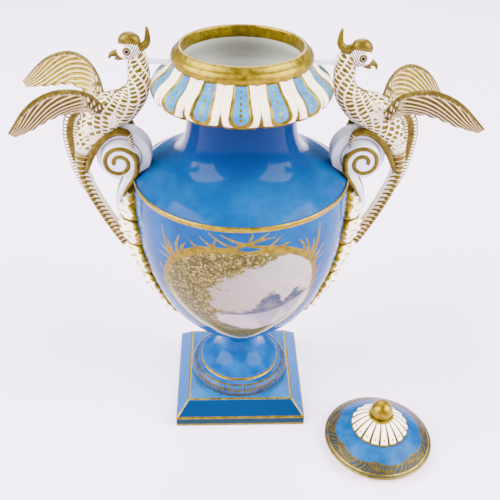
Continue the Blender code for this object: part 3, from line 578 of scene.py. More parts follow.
def ribbon(side, stations, count, sides, depth=0.0, square=1.0, finish=TRUNK, relief=None):
    """A skin swept in the handle's plane: at each station of out, up, half thickness and half width the
    section is a superellipse, cosine and sine raised to the same power, square to the path, and relief
    thickens it. It carries the way along, the way round from the outer face, the place across and which
    face is out."""
    stations = smooth_curve(stations, count)
    path, half, width = stations[:, :2], stations[:, 2:3], stations[:, 3:4]
    slope = np.gradient(path, axis=0)
    slope /= np.linalg.norm(slope, axis=1)[:, None]
    angle = np.linspace(0, 2 * np.pi, sides, endpoint=False)
    thick, wide = (np.sign(wave) * np.abs(wave) ** square for wave in (np.cos(angle), np.sin(angle)))
    travel = way_along(path)[:, None]
    girth = (1 - np.abs(angle / np.pi - 1)) * np.pi * 0.5 * (half + width)
    grown = 0 if relief is None else relief(travel, girth)
    out = path[:, 0:1] - slope[:, 1:2] * (half + grown) * thick
    up = path[:, 1:2] + slope[:, 0:1] * (half + grown) * thick
    return skin(handle_point(side, out, up, depth + (width + grown) * wide), finish, travel=travel,
                girth=girth, across=width * wide, facing=np.cos(angle)[None, :])


def nodded(stations, nod):
    """Stations of the head turned down by an angle about the crest's root and carried on with the neck."""
    stations = np.array(stations, float)
    pivot = np.array([-9.0, 88.0])
    turn = np.radians(nod)
    spin = np.array([[np.cos(turn), np.sin(turn)], [-np.sin(turn), np.cos(turn)]])
    stations[:, :2] = pivot + (0.26 * nod, -0.13 * nod) + (stations[:, :2] - pivot) @ spin.T
    return stations


def wing(side, front, pose):
    """A spread wing: between a leading and a trailing curve, with a sine camber across the chord, and ridges
    that follow the feathers, whose lines lean towards the tip. The pose shifts root, arch and tip."""
    rows, chords = 161, 41
    leading = smooth_curve([(11.5, 6, 60), (14.4, 12.6, 67.4), (17.6, 19, 72.8), (23.2, 25.5, 76.8),
                            (31.2, 30.5, 78.1), (39.7, 33.5, 75.6), (47.7, 36, 70.1),
                            (57.2, 38.5, 59.2)], rows)
    trailing = smooth_curve([(15, 4, 50), (19.5, 9, 57.5), (23.2, 15.5, 60.6), (27.7, 20, 61.8),
                             (32.7, 24, 61.8), (38.7, 26.5, 60), (45.7, 31, 57.6), (54.8, 36.2, 56)], rows)
    span = np.linspace(0, 1, rows)[:, None]
    chord = np.linspace(0, 1, chords)
    feather_end = 0.10 * np.abs(np.sin(np.pi * (span - WING_LEAN) * WING_FEATHERS)) * (1 - 0.6 * span)
    share = (chord + feather_end * chord ** 6)[:, :, None]
    sheet = leading[:, None, :] + (trailing - leading)[:, None, :] * share
    root, arch, tip = (1 - span) * (1 - 2 * span), 4 * span * (1 - span), span * (2 * span - 1)
    sheet[..., 0] += root * pose[0][0] + arch * pose[1][0] + tip * pose[2][0]
    sheet[..., 2] += root * pose[0][1] + arch * pose[1][1] + tip * pose[2][1]
    normal = np.cross(np.gradient(sheet, axis=0), (sheet[:, -1] - sheet[:, 0])[:, None])
    normal /= np.linalg.norm(normal, axis=2)[..., None]
    blade = np.interp(chord, [0, 0.5, 1], [0.85, 1.1, 0.65]) * (1 - np.abs(2 * chord - 1) ** 9) ** 0.5
    half = 0.5 * WING_THICKNESS / BIRD_UNIT * (1.15 - 0.55 * span) * blade
    lean = (span - WING_LEAN * chord) * WING_FEATHERS
    ridge = 0.32 * (np.abs(np.sin(np.pi * lean)) ** 0.7 - 0.7) * np.clip(chord / 0.2, 0, 1) * (blade > 0.4)
    camber = 2.0 * np.sin(np.pi * chord) * (1 - span ** 3)
    upper = sheet + normal * (camber + half + ridge)[..., None]
    lower = sheet + normal * (camber - half - ridge)[..., None]
    ring = np.concatenate([upper, lower[:, -2:0:-1]], axis=1)
    both = np.concatenate([chord, chord[-2:0:-1]])
    return skin(handle_point(side, ring[..., 0], ring[..., 2], front * ring[..., 1]), WING, span=span,
                chord=both[None, :], feather=(span - WING_LEAN * both) * WING_FEATHERS)


def feather_rows(travel, girth):
    """The count of slanting feather rows passed, from the way along and the way round."""
    return (girth * 0.9 - travel * 0.75) / 4.8


def row_relief(travel, girth):
    """Low rounded rows of feathers: the height is a power of a sine across each row."""
    rows = np.abs(np.sin(np.pi * feather_rows(travel, girth))) ** 0.7
    return 0.34 * rows * np.clip((64 - travel) / 6, 0, 1)


def bird(side, nod, front_pose, back_pose):
    """The skins of one bird: trunk with tail strap, head, crest, lug, wings, tail plumes and legs."""
    trunk = [(-7.6, 86.6, 4, 4), (-7.4, 79.6, 5.4, 5.2), (-7.2, 71.6, 5.7, 5.8), (-4.6, 64.3, 6.8, 7),
             (1.6, 58.2, 8.6, 9), (9.8, 54.2, 10, 10.5), (17.2, 47.6, 9.6, 10.5), (23.7, 37.6, 7.4, 8.5),
             (27, 27.6, 4.8, 7.5), (27.8, 18.6, 3.1, 7.4), (25.6, 8.6, 2.6, 7.4), (21.8, -1.4, 2.4, 7.4),
             (17, -11.9, 2.3, 7.4), (12.2, -21.4, 2.3, 7.2), (8, -29, 2.2, 6.8)]
    skull = [(-9.5, 88, 1, 1), (-7.6, 88, 4.6, 4.2), (-3.6, 88.4, 6, 5.4), (-0.4, 87.8, 5, 4.6),
             (2.4, 87, 2.4, 2.4)]
    brow = [(-9.5, 92, 0.8, 0.8), (-7.6, 92.6, 3, 3.4), (-3.6, 94, 3.6, 4.4), (-0.4, 92.8, 3, 3.6),
            (1.4, 90.8, 0.8, 0.8)]
    beak = [(0.5, 86.6, 2.6, 2.6), (3.6, 86.4, 1.9, 1.9), (6.2, 85.6, 1.2, 1.3), (7.6, 83.6, 0.5, 0.6)]
    chin = [(0, 84.6, 1.6, 1.8), (2.6, 83.6, 1.1, 1.3), (4.6, 83.6, 0.5, 0.6)]
    crest = [(-5.5, 90.5, 2.4, 2.6), (-9.8, 89.8, 2.2, 2.3), (-12.6, 92.2, 1.9, 1.9), (-13.2, 96.2, 1.4, 1.5),
             (-13, 100, 0.7, 0.8)]
    collar_top = (0.78 * COLLAR_RADIUS - BODY_RADIUS) / BIRD_UNIT
    collar_up = (RIM_LEVEL - 0.11 * COLLAR_HEIGHT - BIRD_FOOT_LEVEL) / BIRD_UNIT
    lug = [(-8, 82, 1.8, 2.4), (0.5 * collar_top - 4, 0.5 * collar_up + 41.5, 1.4, 2),
           (collar_top, collar_up, 1.4, 2.2)]
    plume = [(19, 57, 3.6, 2.8), (28, 54, 4.4, 3.2), (31.4, 45, 4.6, 3.3),
             (31.4, 33, 4.2, 3.2), (30.6, 22, 3, 2.9), (28.2, 11, 1.8, 2.3), (25.4, 5, 0.8, 1.4)]
    leg = [(24.8, 22, 1.4, 1.6), (19.8, 33, 1.9, 2.1), (13.6, 41.6, 2.3, 2.4), (6.6, 45.2, 2.2, 2.4),
           (0.6, 44.6, 1.9, 2.6), (-1.6, 39.4, 1.2, 2.2), (-1.8, 35.4, 0.7, 1.4)]
    skins = [ribbon(side, trunk, 260, 64, square=0.9, relief=row_relief),
             ribbon(side, nodded(skull, nod), 36, 36, finish=HEAD),
             ribbon(side, nodded(brow, nod), 30, 30, finish=COIL),
             ribbon(side, nodded(beak, nod), 24, 24, finish=BEAK),
             ribbon(side, nodded(chin, nod), 16, 20, finish=BEAK),
             ribbon(side, nodded(crest, 0.4 * nod), 60, 24, finish=COIL),
             ribbon(side, lug, 20, 16, finish=SCROLL), wing(side, -1, front_pose), wing(side, 1, back_pose)]
    for across in (-1, 1):
        skins.append(ribbon(side, plume, 90, 32, depth=3.0 * across, finish=PLUME))
        skins.append(ribbon(side, leg, 70, 24, depth=7.6 * across, finish=BEAK))
    return skins


def scroll(side):
    """The skins of the scroll under the claws: a drum between two coiled ends, and the leafy stem below."""
    roll_out, roll_up = 5.8, 29.6
    end_radius, drum_radius = 8.9, 15.3
    swell = smooth_curve([(-1.0, 0.0), (-0.93, 0.20), (-0.60, 0.36), (-0.50, 0.90), (-0.3, 0.97), (0.0, 1.0),
                          (0.3, 0.97), (0.50, 0.90), (0.60, 0.36), (0.93, 0.20), (1.0, 0.0)], 90)
    angle = np.linspace(0, 2 * np.pi, 90, endpoint=False)
    across, share = swell[:, 0:1], swell[:, 1:2]
    flute = 0.18 * np.cos(across * 9 * np.pi) * (share > 0.8)
    radius = end_radius - 0.8 + (drum_radius - end_radius + 0.8) * share + flute
    rows = handle_point(side, roll_out - 2.2 * share + radius * np.cos(angle),
                        roll_up + radius * np.sin(angle), across * HALF_SCROLL)
    turn = np.linspace(0, 1.55 * 2 * np.pi, 60)
    coil_radius = end_radius + 0.9 - 7.3 * turn / turn[-1]
    coil = np.stack([roll_out - coil_radius * np.cos(turn), roll_up - 1.2 + coil_radius * np.sin(turn),
                     np.full(60, 1.5), np.full(60, HALF_SCROLL + 0.75)], axis=1)
    run_up = [(5.4, 5.6, 0.8, HALF_SCROLL * 0.71 + 0.8), (2.3, 12.2, 1.2, HALF_SCROLL * 0.80 + 0.9),
              (-1.0, 17.3, 1.4, HALF_SCROLL * 0.89 + 0.9), (-3.4, 22.3, 1.5, HALF_SCROLL * 0.95 + 0.8)]
    coil = np.concatenate([run_up, coil])
    stem = [(-1.0, 31.0, 3.0, HALF_SCROLL * 0.93), (-1.0, 24.0, 4.6, HALF_SCROLL * 0.92),
            (1.6, 17.0, 4.8, HALF_SCROLL * 0.88), (5.6, 10.0, 3.4, HALF_SCROLL * 0.76),
            (8.4, 2.5, 2.1, HALF_SCROLL * 0.66), (8.6, -6.0, 2.2, HALF_SCROLL * 0.6)]
    return [skin(rows, SCROLL, across=across * HALF_SCROLL, facing=share),
            ribbon(side, coil, 210, 20, square=0.35, finish=COIL),
            ribbon(side, stem, 80, 48, square=0.7, finish=STRAP)]


def side_mount(side):
    """The acanthus mount down the bowl: its edge swells and draws in with the sine of each lobe, frilled by
    a faster sine, and its height falls from a middle rib to the edge, with flutes that fan out in each
    lobe."""
    rows = 241
    down = np.linspace(0, 1, rows)[:, None]
    level = BIRD_FOOT_LEVEL + 0.12 * MOUNT_LENGTH - MOUNT_LENGTH * down
    radius = np.interp(level, bowl_curve[:, 1], bowl_curve[:, 0])
    lobe = np.abs(np.sin(np.pi * MOUNT_LOBES * down)) ** 0.5
    frill = 0.035 * np.abs(np.sin(np.pi * 4 * MOUNT_LOBES * down))
    spread = np.interp(down, [0, 0.10, 0.17, 0.25, 0.35, 0.48, 0.60, 0.75, 0.88, 1.0],
                       [7, 9, 17, 19, 15, 18, 21, 24, 28, 14])
    half_angle = np.radians(spread) * (0.66 + 0.36 * lobe + 1.2 * frill)
    depth = MOUNT_DEPTH * (1 - 0.60 * down ** 3) * (0.76 + 0.24 * lobe) * np.interp(down, [0, 0.12], [0.6, 1])
    across = np.linspace(-1, 1, 61)
    crown = np.clip(1 - np.abs(across) ** 2.4, 0, 1) ** 0.7 * 0.9 + 0.10
    fan = (down * MOUNT_LOBES) % 1 - 0.5
    flute = 0.07 * np.cos((np.abs(across) * 2.2 + 3.2 * fan) * 2 * np.pi) * (1 - np.abs(across) ** 6) * lobe
    outer = radius + depth * (crown + flute - 0.05)
    inner = radius - 0.4 * BODY_WALL + 0 * across[::6]
    reach = np.concatenate([outer, inner], axis=1)
    angle = half_angle * np.concatenate([across, 0.96 * across[::-6]])
    edge = np.concatenate([1 - np.abs(across), 0 * across[::6]]) * half_angle * radius * MM
    return skin(spots(side * reach * np.cos(angle), reach * np.sin(angle), level), MOUNT, edge=edge,
                fan=np.abs(fan) * 2)


def feathered_trunk():
    """White with slanting rows of short brown-gold bars, each row shifted against the last, broken by cloudy
    noise and closer on the neck. The neck has a gilt stripe down its outer face, and the tail strap has gilt
    edges with slanting ticks."""
    paint = Paint("feathered_trunk")
    travel, girth, across = paint.marks("travel", "girth", "across")
    jitter = (paint.cloud(4.0, 2.0) - 0.5) * 2.4
    row = feather_rows(travel + jitter, girth + jitter)
    bars = ((travel * 0.62 + girth * 0.55 + jitter) / 2.1 + row.floor() * 0.37).bars(0.32, 0.07)
    patches = paint.cloud(7.0, 2.0).above(0.26 + 0.14 * travel.above(30.0, 8.0), 0.05)
    body = bars * row.bars(0.39, 0.06) * patches * travel.below(66.0, 3.0)
    stripe = girth.below(1.9, 0.3) * travel.below(30.0, 1.0)
    ticks = (travel / 3.0 + abs(across) * 0.24).bars(0.24, 0.06) * abs(across).above(1.6, 0.3)
    edge = abs(across).above(6.3, 0.2) * (1 - (travel / 3.0).bars(0.10, 0.05) * 0.8)
    strap = travel.above(68.0, 2.0) * ticks.larger(edge)
    return paint.fire(tint(229, 225, 216), body, strap, stripe, bright=0.30 + stripe * 0.2)


def feathered_wing():
    """White with broad brown-gold stripes along the long feathers, rows of scales near the root with slanting
    barb strokes behind them, and a gilt leading edge. The stripes are brighter on the wing at the back."""
    paint = Paint("feathered_wing")
    span, chord, feather = paint.marks("span", "chord", "feather")
    inside = abs(feather.fract() - 0.5)
    barbs = (chord * 12 + inside * 2.6).bars(0.30, 0.07) * inside.below(0.36, 0.04)
    long_ones = span.above(0.30, 0.06) * chord.above(0.14, 0.04)
    row = chord * 5
    place = span * 12 + (row.floor() * 0.5).fract()
    scale = ((place.fract() * 2 - 1) ** 2 + (row.fract() - 0.1) ** 2) ** 0.5
    coverts = scale.near(0.70, 0.32, 0.06) * chord.below(0.60, 0.05)
    near_root = (coverts + barbs * chord.above(0.50, 0.05)) * (1 - long_ones)
    primaries = inside.above(0.15, 0.05) * long_ones
    lead = chord.below(0.10, 0.02)
    behind = paint.place[1].above(6.0, 3.0)
    return paint.fire(tint(222, 213, 190), near_root.smaller(1.0), primaries, lead,
                      bright=0.04 + 0.12 * lead + 0.40 * primaries * behind)


def scroll_finish():
    """White, with gilt lines along the shoulders of the drum."""
    paint = Paint("scroll_glaze")
    across, facing = paint.marks("across", "facing")
    line = (abs(across) / HALF_SCROLL).near(0.575, 0.012, 0.008) * facing.above(0.02, 0.01)
    return paint.fire(tint(226, 226, 230), line * 0.8, bright=0.2)


def plain_gilding(name, bright, wear):
    """Gilding all over, with white showing where it is worn."""
    paint = Paint(name)
    return paint.fire(tint(226, 220, 212), paint.cloud(1.3).above(0.5 - wear, 0.08), bright=bright)


def stem_finish():
    """The scroll's stem: white, gilt along both sides, with slanting leaf strokes between."""
    paint = Paint("stem_glaze")
    travel, across, facing = paint.marks("travel", "across", "facing")
    side_way = abs(across) / HALF_SCROLL
    leaves = (travel / 3.4 - side_way * 2.2).bars(0.13, 0.05) * side_way.below(0.50, 0.03)
    edge = facing.near(-0.48, 0.22, 0.04).larger(facing.near(0.66, 0.12, 0.04)) * side_way.above(0.30, 0.02)
    return paint.fire(tint(226, 226, 228), leaves * 0.9, edge, bright=0.45)


def mount_finish():
    """White acanthus: a gilt edge whose width swings with the sine of the place in each lobe and a little
    with the noise, short gilt veins in each lobe, and gilding in the notches between lobes."""
    paint = Paint("mount_glaze")
    edge, fan = paint.marks("edge", "fan")
    width = 0.1 + paint.cloud(2.2, 2.0) * 0.5 + 1.1 * abs((fan * (2 * np.pi)).sin())
    rim = (width - edge).above(0.0, 0.15)
    veins = (fan * 2.6 + edge * 0.10).bars(0.13, 0.05) * edge.near(4.6, 2.2, 0.6)
    return paint.fire(tint(234, 231, 226), rim, veins * 0.8, fan.above(0.88, 0.05), bright=0.85)


def head_finish(side, nod):
    """The head: white with slanting feather strokes behind, and an eye of dark brown in a gilt ring on each
    side."""
    paint = Paint("head_left" if side < 0 else "head_right")
    x, z = paint.place[::2]
    eye_out, eye_up = nodded([(-2.6, 88.8, 0, 0)], nod)[0, :2]
    out = (side * x - BODY_RADIUS * MM) / (BIRD_UNIT * MM) - eye_out
    up = (z - BIRD_FOOT_LEVEL * MM) / (BIRD_UNIT * MM) - eye_up
    reach = (out * out + up * up) ** 0.5
    strokes_back = (out * 0.8 + up * 0.45).bars(0.32, 0.06) * reach.above(2.5, 0.2) * out.below(1.6, 0.4)
    colour = paint.blend(reach.below(1.0, 0.1), tint(234, 230, 232), tint(48, 28, 16))
    return paint.fire(colour, reach.near(1.65, 0.62, 0.08), strokes_back, bright=0.25)


def beak_finish():
    """Gilt beaks and legs, with white bars across the claws."""
    paint = Paint("beak_and_legs")
    travel = paint.mark("travel")
    bars = (travel / 1.5).bars(0.2, 0.1) * travel.above(38.0, 1.0)
    return paint.fire(tint(228, 222, 214), 1 - bars * 0.9, bright=0.25)


def plume_finish():
    """White plumes with gilt lines along them and short barbs between the lines."""
    paint = Paint("plume_glaze")
    travel, across = paint.marks("travel", "across")
    lines = (across / 1.7 + 0.5).bars(0.24, 0.06)
    barbs = (travel / 1.9 + abs((across / 1.7).fract() - 0.5)).bars(0.24, 0.07)
    return paint.fire(tint(234, 231, 226), lines, barbs, bright=0.2)


shared = [feathered_trunk(), feathered_wing(), scroll_finish(), plain_gilding("coil_gilding", 0.30, 0.26),
          mount_finish()]
rest = [beak_finish(), plume_finish(), stem_finish()]
for name, side, nod, front_pose, back_pose in (
        ("left_bird_handle", -1, 0.0, ((0, 0), (0, 0.2), (-3, 0)), ((0, -8), (1.5, -1.5), (7.5, -3))),
        ("right_bird_handle", 1, 13.0, ((2.5, -5), (1, 0.5), (2, 2.5)), ((3, -5), (4, -8), (1, -9)))):
    skins = bird(side, nod, front_pose, back_pose) + scroll(side) + [side_mount(side)]
    piece(name, skins, shared + [head_finish(side, nod)] + rest, "vase_body")


# Pedestal foot. A square plinth and a round pedestal, cast hollow in one and joined to the vase at the stem.
# It has the same blue glaze, a little darker, with gilt lines on the edges and a gilt garland on the torus.
PLINTH_SIDE = 0.084
PLINTH_BAND_HEIGHT = 0.0073
PLINTH_TOP_SIDE = 0.0677
PLINTH_TOP = PLINTH_BAND_HEIGHT + 0.0090
FOOT_TOP = PLINTH_TOP + 0.0287
TORUS_RADIUS = 0.0324
TORUS_HEIGHT = 0.0085
GOLD_RING_RADIUS = 0.0254
STEM_RADIUS = 0.0110


def squared(profile, corner):
    """Rows of a square form with round corners: quarter circles of the corner radius joined by the sides."""
    turn = np.radians(np.concatenate([quarter + np.linspace(0, 90, 9) for quarter in (0, 90, 180, 270)]))
    which = np.repeat(np.radians([45, 135, 225, 315]), 9)
    half, level = np.asarray(profile, float).T[:, :, None]
    return spots(np.sign(np.cos(which)) * (half - corner) + corner * np.cos(turn),
                 np.sign(np.sin(which)) * (half - corner) + corner * np.sin(turn), level)


half, top_half, ease = PLINTH_SIDE / 2, PLINTH_TOP_SIDE / 2, 0.0005
block = np.concatenate([
    [(half * 0.4, 0)],
    by_shares([(-2, 0), (-1, 0), (-0.3, 0.3), (0, 1), (0, 2)], ease, ease, 0, half),
    by_shares([(0, -2), (0, -1), (-0.35, 0), (-1.2, 0.9), (-2.4, 2.2)], ease, ease, PLINTH_BAND_HEIGHT, half),
    by_shares([(2, -2.2), (1, -1.1), (0.3, -0.3), (-1, 0), (-2, 0)], ease, ease, PLINTH_TOP, top_half),
    [(top_half * 0.5, PLINTH_TOP)]])
torus_top = PLINTH_TOP + TORUS_HEIGHT
rise = FOOT_TOP - torus_top
pedestal = np.concatenate([
    by_shares([(0.9, -0.002), (0.965, -0.0005), (0.985, 0.0008), (0.975, 0.0016)],
              TORUS_RADIUS, 1, PLINTH_TOP),
    by_shares([(1, 0.32), (0.995, 0.55), (0.955, 0.80), (0.88, 0.96)],
              TORUS_RADIUS, TORUS_HEIGHT, PLINTH_TOP),
    by_shares([(1.04, 0.0001), (1.005, 0.0012)], GOLD_RING_RADIUS, 1, torus_top),
    by_shares([(0.99, 0.13), (0.94, 0.16), (0.74, 0.28)], GOLD_RING_RADIUS, rise, torus_top),
    by_shares([(1.22, 0.52), (1.02, 0.78), (1, 1)], STEM_RADIUS, rise, torus_top)])
around = np.linspace(0, 2 * np.pi, 180, endpoint=False)


def plinth_finish():
    """Blue glaze, darkest on the front and back slopes as painted shade and teal on the band, with gilt lines
    at the band's edges, along the hips where the two sides are equally far out, and round the top."""
    paint = Paint("plinth_glaze")
    x, y, z = paint.place
    x, y = abs(x), abs(y)
    band = z.below(PLINTH_BAND_HEIGHT * MM + 0.2, 0.2)
    slope = z.below(PLINTH_TOP * MM - 0.5, 0.2) * (1 - band)
    # Painted shade: the front and back slopes get a darker blue than the left and right ones, though all four
    # are one glaze.
    slopes = paint.blend((x - y).above(0.0, 0.4), (0.0008, 0.021, 0.072, 1), (0.0010, 0.060, 0.205, 1))
    blue = paint.clouded((0.0022, 0.055, 0.180, 1), (0.0060, 0.082, 0.235, 1), 14.0)
    blue = paint.blend(band, paint.blend(slope, blue, slopes), (0.0040, 0.024, 0.040, 1))
    wear = (paint.cloud(1.8) - 0.5) * 0.6
    upper = (z + wear).near(PLINTH_BAND_HEIGHT * MM - 0.2, 0.75, 0.12)
    lower = (z + wear).below(2.0, 0.12)
    hips = (x - y + wear).near(0.0, 0.8, 0.15) * slope
    top = (x.larger(y) + wear).near(top_half * MM - 0.4, 0.75, 0.12)
    top = top * z.above(PLINTH_BAND_HEIGHT * MM + 2, 0.3)
    return paint.fire(blue, upper, lower, hips, top, bright=0.7)


def pedestal_finish():
    """Blue glaze with a gilt ring, a gilt line under the torus, and a garland of slanting leaves along a wavy
    vine with a second vine line over it."""
    paint = Paint("pedestal_glaze")
    x, y, z = paint.place
    blue = paint.clouded((0.0006, 0.034, 0.145, 1), (0.0030, 0.062, 0.210, 1), 14.0)
    turn = paint.math('ARCTAN2', x, -y)
    wear = (paint.cloud(1.8) - 0.5) * 0.5
    ring = (z + wear * 0.4).near(torus_top * MM + 1.0, 0.75, 0.10)
    height = z - (PLINTH_TOP + 0.62 * TORUS_HEIGHT) * MM
    level = height - (turn * 20).sin() * 0.35
    leaves = ((turn * 15).fract() - 0.5 + abs(level) * 0.22).near(0.0, 0.28, 0.07)
    leaves = leaves * abs(level).below(1.7, 0.15)
    vine = level.near(0.0, 0.34, 0.1).larger(height.near(2.5, 0.28, 0.1))
    foot_line = (z + wear).near(PLINTH_TOP * MM + 1.2, 0.55, 0.1)
    return paint.fire(blue, ring, leaves, vine, foot_line, bright=0.08 + 0.7 * ring)


piece("foot", [skin(squared(block, 0.0012)), skin(turned(smooth_curve(pedestal, 120), around), 1)],
      [plinth_finish(), pedestal_finish()], "pedestal_foot")


# Lid. A turned porcelain dome with a pressed daisy and a gilt ball knob, hollow below with a fitting flange.
# It lies level on its flange beside the vase. Its border is a gilt scroll with scalloped lobes.
LID_PLACE = (0.0876, -0.0570)
LID_RADIUS = 0.03405
LID_EDGE = 0.0016
LID_WALL = 0.0032
FLANGE_DEPTH = 0.0042
FLANGE_RADIUS = MOUTH_RADIUS - 0.0008
LID_DOME_HEIGHT = 0.0100
DAISY_RADIUS = 0.0181
DAISY_HEIGHT = 0.0090
DAISY_PETALS = 18
KNOB_RING_RADIUS = 0.0078
KNOB_RADIUS = 0.0067
edge_level = FLANGE_DEPTH + LID_EDGE
daisy_level = edge_level + LID_DOME_HEIGHT
ring_level = daisy_level + DAISY_HEIGHT
lip_radius = LID_RADIUS - 0.62 * LID_EDGE
bore = FLANGE_RADIUS - LID_WALL
fall = np.linspace(0, 1, 24)
slope = np.stack([DAISY_RADIUS * 0.94 + (lip_radius - DAISY_RADIUS * 0.94) * fall,
                  daisy_level - 0.0004 - (LID_DOME_HEIGHT - 0.0004) * fall ** 1.15], axis=1)
lip = arc(0.40, -0.5, 9, 0.5 * LID_EDGE, 0.5 * LID_EDGE, FLANGE_DEPTH + 0.5 * LID_EDGE, lip_radius)
under = [(FLANGE_RADIUS + 0.0006, FLANGE_DEPTH), (FLANGE_RADIUS, FLANGE_DEPTH - 0.0005),
         (FLANGE_RADIUS, 0.0006), (FLANGE_RADIUS - 0.0006, 0), (bore + 0.0006, 0), (bore, 0.0006),
         (bore, FLANGE_DEPTH), (DAISY_RADIUS * 1.05, daisy_level - LID_WALL * 1.9),
         (DAISY_RADIUS * 0.8, daisy_level - LID_WALL * 0.6),
         (KNOB_RING_RADIUS, ring_level - LID_WALL * 1.5), (POLE, ring_level - LID_WALL * 1.3)]
lid_profile = np.concatenate([[(POLE, ring_level - 0.0012), (KNOB_RING_RADIUS * 0.8, ring_level - 0.0012),
                               (DAISY_RADIUS * 0.8, daisy_level + 0.001)], slope[1:], lip[1:], under])


def daisy():
    """The daisy's skin: a cap that falls as a power of the radius, with the petals' crowns as the power of a
    sine round it, and its edge scalloped by the same sine. It carries the share out and the sine."""
    finer = np.linspace(0, 2 * np.pi, 20 * DAISY_PETALS, endpoint=False)
    share = np.concatenate([[0.0, 0.02], np.linspace(0.06, 1, 34)])[:, None]
    petal = np.abs(np.sin(0.5 * DAISY_PETALS * finer))
    spread = np.clip((share - 0.1) / 0.5, 0, 1)
    radius = KNOB_RING_RADIUS * 0.75 + (DAISY_RADIUS - KNOB_RING_RADIUS * 0.75) * share
    radius = radius * (1 - 0.055 * (1 - petal ** 0.5) * share ** 2)
    level = ring_level - DAISY_HEIGHT * share ** 1.7 - 0.0009 * (1 - petal ** 0.6) * spread
    radius = np.concatenate([radius, radius[-1:] * 0.97, radius[-1:] * 0.85])
    level = np.concatenate([level, level[-1:] - 0.0008, 0 * level[-1:] + daisy_level - 0.0012])
    share = np.concatenate([share, share[-1:], share[-1:]])
    return skin(swept(radius, level, finer, LID_PLACE), 1, share=share, petal=petal[None, :])


ball = ring_level + 0.62 * KNOB_RADIUS
knob_profile = np.concatenate([
    by_shares([(0.9, -0.0024), (0.98, -0.0004), (1, 0.0004), (0.96, 0.0009), (0.84, 0.0010)],
              KNOB_RING_RADIUS, 1, ring_level),
    arc(-0.24, 0.46, 30, KNOB_RADIUS, KNOB_RADIUS, ball, 0)])


def lid_finish():
    """Blue glaze with a border of gilt scrolls: the border's inner edge goes in and out as a power of a sine,
    and inside the border lie slanting ticks and a broken wavy line. The edge has two gilt lines, and the
    hollow side is white."""
    paint = Paint("lid_glaze")
    x, y, z = paint.place
    x, y = x - LID_PLACE[0] * MM, y - LID_PLACE[1] * MM
    reach = (x * x + y * y) ** 0.5
    turn = paint.math('ARCTAN2', y, x)
    border = reach - (25.4 + 1.9 * abs((turn * 3.5).sin()) ** 0.7)
    inside = border.above(0.0, 0.15)
    blue = paint.clouded((0.0006, 0.036, 0.138, 1), (0.0030, 0.064, 0.205, 1), 9.0, 3.0, 0.5, (x, y, z))
    wave = (turn * 7).sin() * 0.9
    ticks = (turn * 13.0 + (reach - 29) * 0.30 + wave).bars(0.20, 0.06) * reach.below(31.4, 0.2)
    scrolls = ((reach - 29.0 - wave * 1.4) * 0.62).near(0.0, 0.42, 0.08)
    scrolls = scrolls * (turn * 7 + 0.8).sin().above(-0.2, 0.2)
    edge = reach.near(32.0, 0.45, 0.1).larger(reach.above(33.1, 0.1))
    outer = z.above(FLANGE_DEPTH * MM + 0.05, 0.1)
    dark = paint.blend(inside * 0.9, blue, tint(66, 76, 72))
    colour = paint.blend(outer, tint(222, 218, 208), dark)
    gilt = (ticks.larger(scrolls) * inside).larger(border.near(0.3, 0.45, 0.1)).larger(edge)
    return paint.fire(colour, gilt * outer, bright=0.08 + 0.6 * edge)


def daisy_finish():
    """White petals with a thin brown-gold line between them, a darker scalloped line at their ends, and a dot
    near the end of each."""
    paint = Paint("daisy_glaze")
    share, petal = paint.marks("share", "petal")
    between = petal.below(0.44, 0.12) * share.above(0.12, 0.04)
    dots = share.near(0.80, 0.03, 0.02) * petal.above(0.93, 0.03)
    return paint.fire(tint(236, 232, 226), between, share.above(0.93, 0.03), dots, share.below(0.10, 0.03),
                      bright=0.12)


dome, knob = (turned(profile, around, LID_PLACE) for profile in (lid_profile, knob_profile))
piece("lid_piece", [skin(dome), daisy(), skin(knob, 2)],
      [lid_finish(), daisy_finish(), plain_gilding("knob_gilding", 0.8, 0.5)], "lid")

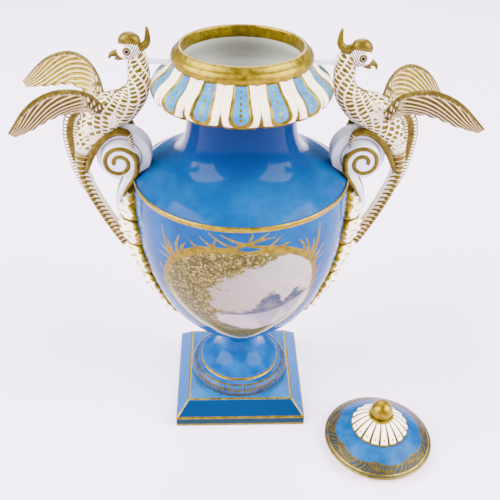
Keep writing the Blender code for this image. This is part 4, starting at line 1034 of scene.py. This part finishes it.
# Table, light and camera. A pale seamless sheet between two big soft lights, seen from in front and above.
floor_mesh = bpy.data.meshes.new("table_sheet")
floor_mesh.from_pydata([(-3, -3, 0), (3, -3, 0), (3, 3, 0), (-3, 3, 0)], [], [(0, 1, 2, 3)])
floor = bpy.data.objects.new("table_sheet", floor_mesh)
bpy.context.scene.collection.objects.link(floor)
sheet = Paint("pale_sheet")
sheet.feed(sheet.shader.inputs["Base Color"], (0.92, 0.77, 0.99, 1))
sheet.feed(sheet.shader.inputs["Roughness"], 0.6)
sheet.feed(sheet.shader.inputs["Specular IOR Level"], 0.1)
floor_mesh.materials.append(sheet.material)
world = bpy.data.worlds.new("studio")
bpy.context.scene.world = world
world.use_nodes = True
world.node_tree.nodes["Background"].inputs["Color"].default_value = (0.93, 0.93, 1.0, 1)
world.node_tree.nodes["Background"].inputs["Strength"].default_value = 0.55


def soft_light(name, place, aim, size, power):
    """A square area light at a place, turned to a point."""
    lamp = bpy.data.lights.new(name, 'AREA')
    lamp.size = size
    lamp.energy = power
    holder = bpy.data.objects.new(name, lamp)
    bpy.context.scene.collection.objects.link(holder)
    holder.location = place
    holder.rotation_euler = (Vector(aim) - Vector(place)).to_track_quat('-Z', 'Y').to_euler()


soft_light("window_left", (-1.3, -0.35, 1.1), (0, 0, 0.10), 1.5, 160)
soft_light("window_right", (1.3, -0.45, 1.05), (0, 0, 0.10), 1.5, 144)
soft_light("window_back", (0.1, 1.3, 1.3), (0, 0, 0.10), 1.2, 60)
PITCH, ROLL, TURN = 0.6064, 0.0193, 0.043
FIT_UNIT, FIT_PLACE = 0.042, np.array([-0.1415, 8.7239, -8.7066])
LENS_PIXELS, PHOTO_PIXELS, SENSOR = 721.07, 500, 36
level_right, level_up = np.array([1.0, 0, 0]), np.array([0, np.sin(PITCH), np.cos(PITCH)])
forward = np.array([0, np.cos(PITCH), -np.sin(PITCH)])
right = np.cos(ROLL) * level_right + np.sin(ROLL) * level_up
upward = -np.sin(ROLL) * level_right + np.cos(ROLL) * level_up
swing = np.array([[np.cos(TURN), np.sin(TURN), 0], [-np.sin(TURN), np.cos(TURN), 0], [0, 0, 1]])
stand = swing @ -FIT_PLACE * FIT_UNIT
axes = swing @ np.stack([right, upward, -forward], axis=1)
camera = bpy.data.objects.new("camera", bpy.data.cameras.new("camera"))
bpy.context.scene.collection.objects.link(camera)
camera.matrix_world = Matrix([[*axes[row], stand[row]] for row in range(3)] + [[0, 0, 0, 1]])
camera.data.sensor_width = SENSOR
camera.data.lens = LENS_PIXELS * SENSOR / PHOTO_PIXELS
camera.data.clip_start = 0.01
bpy.context.scene.camera = camera
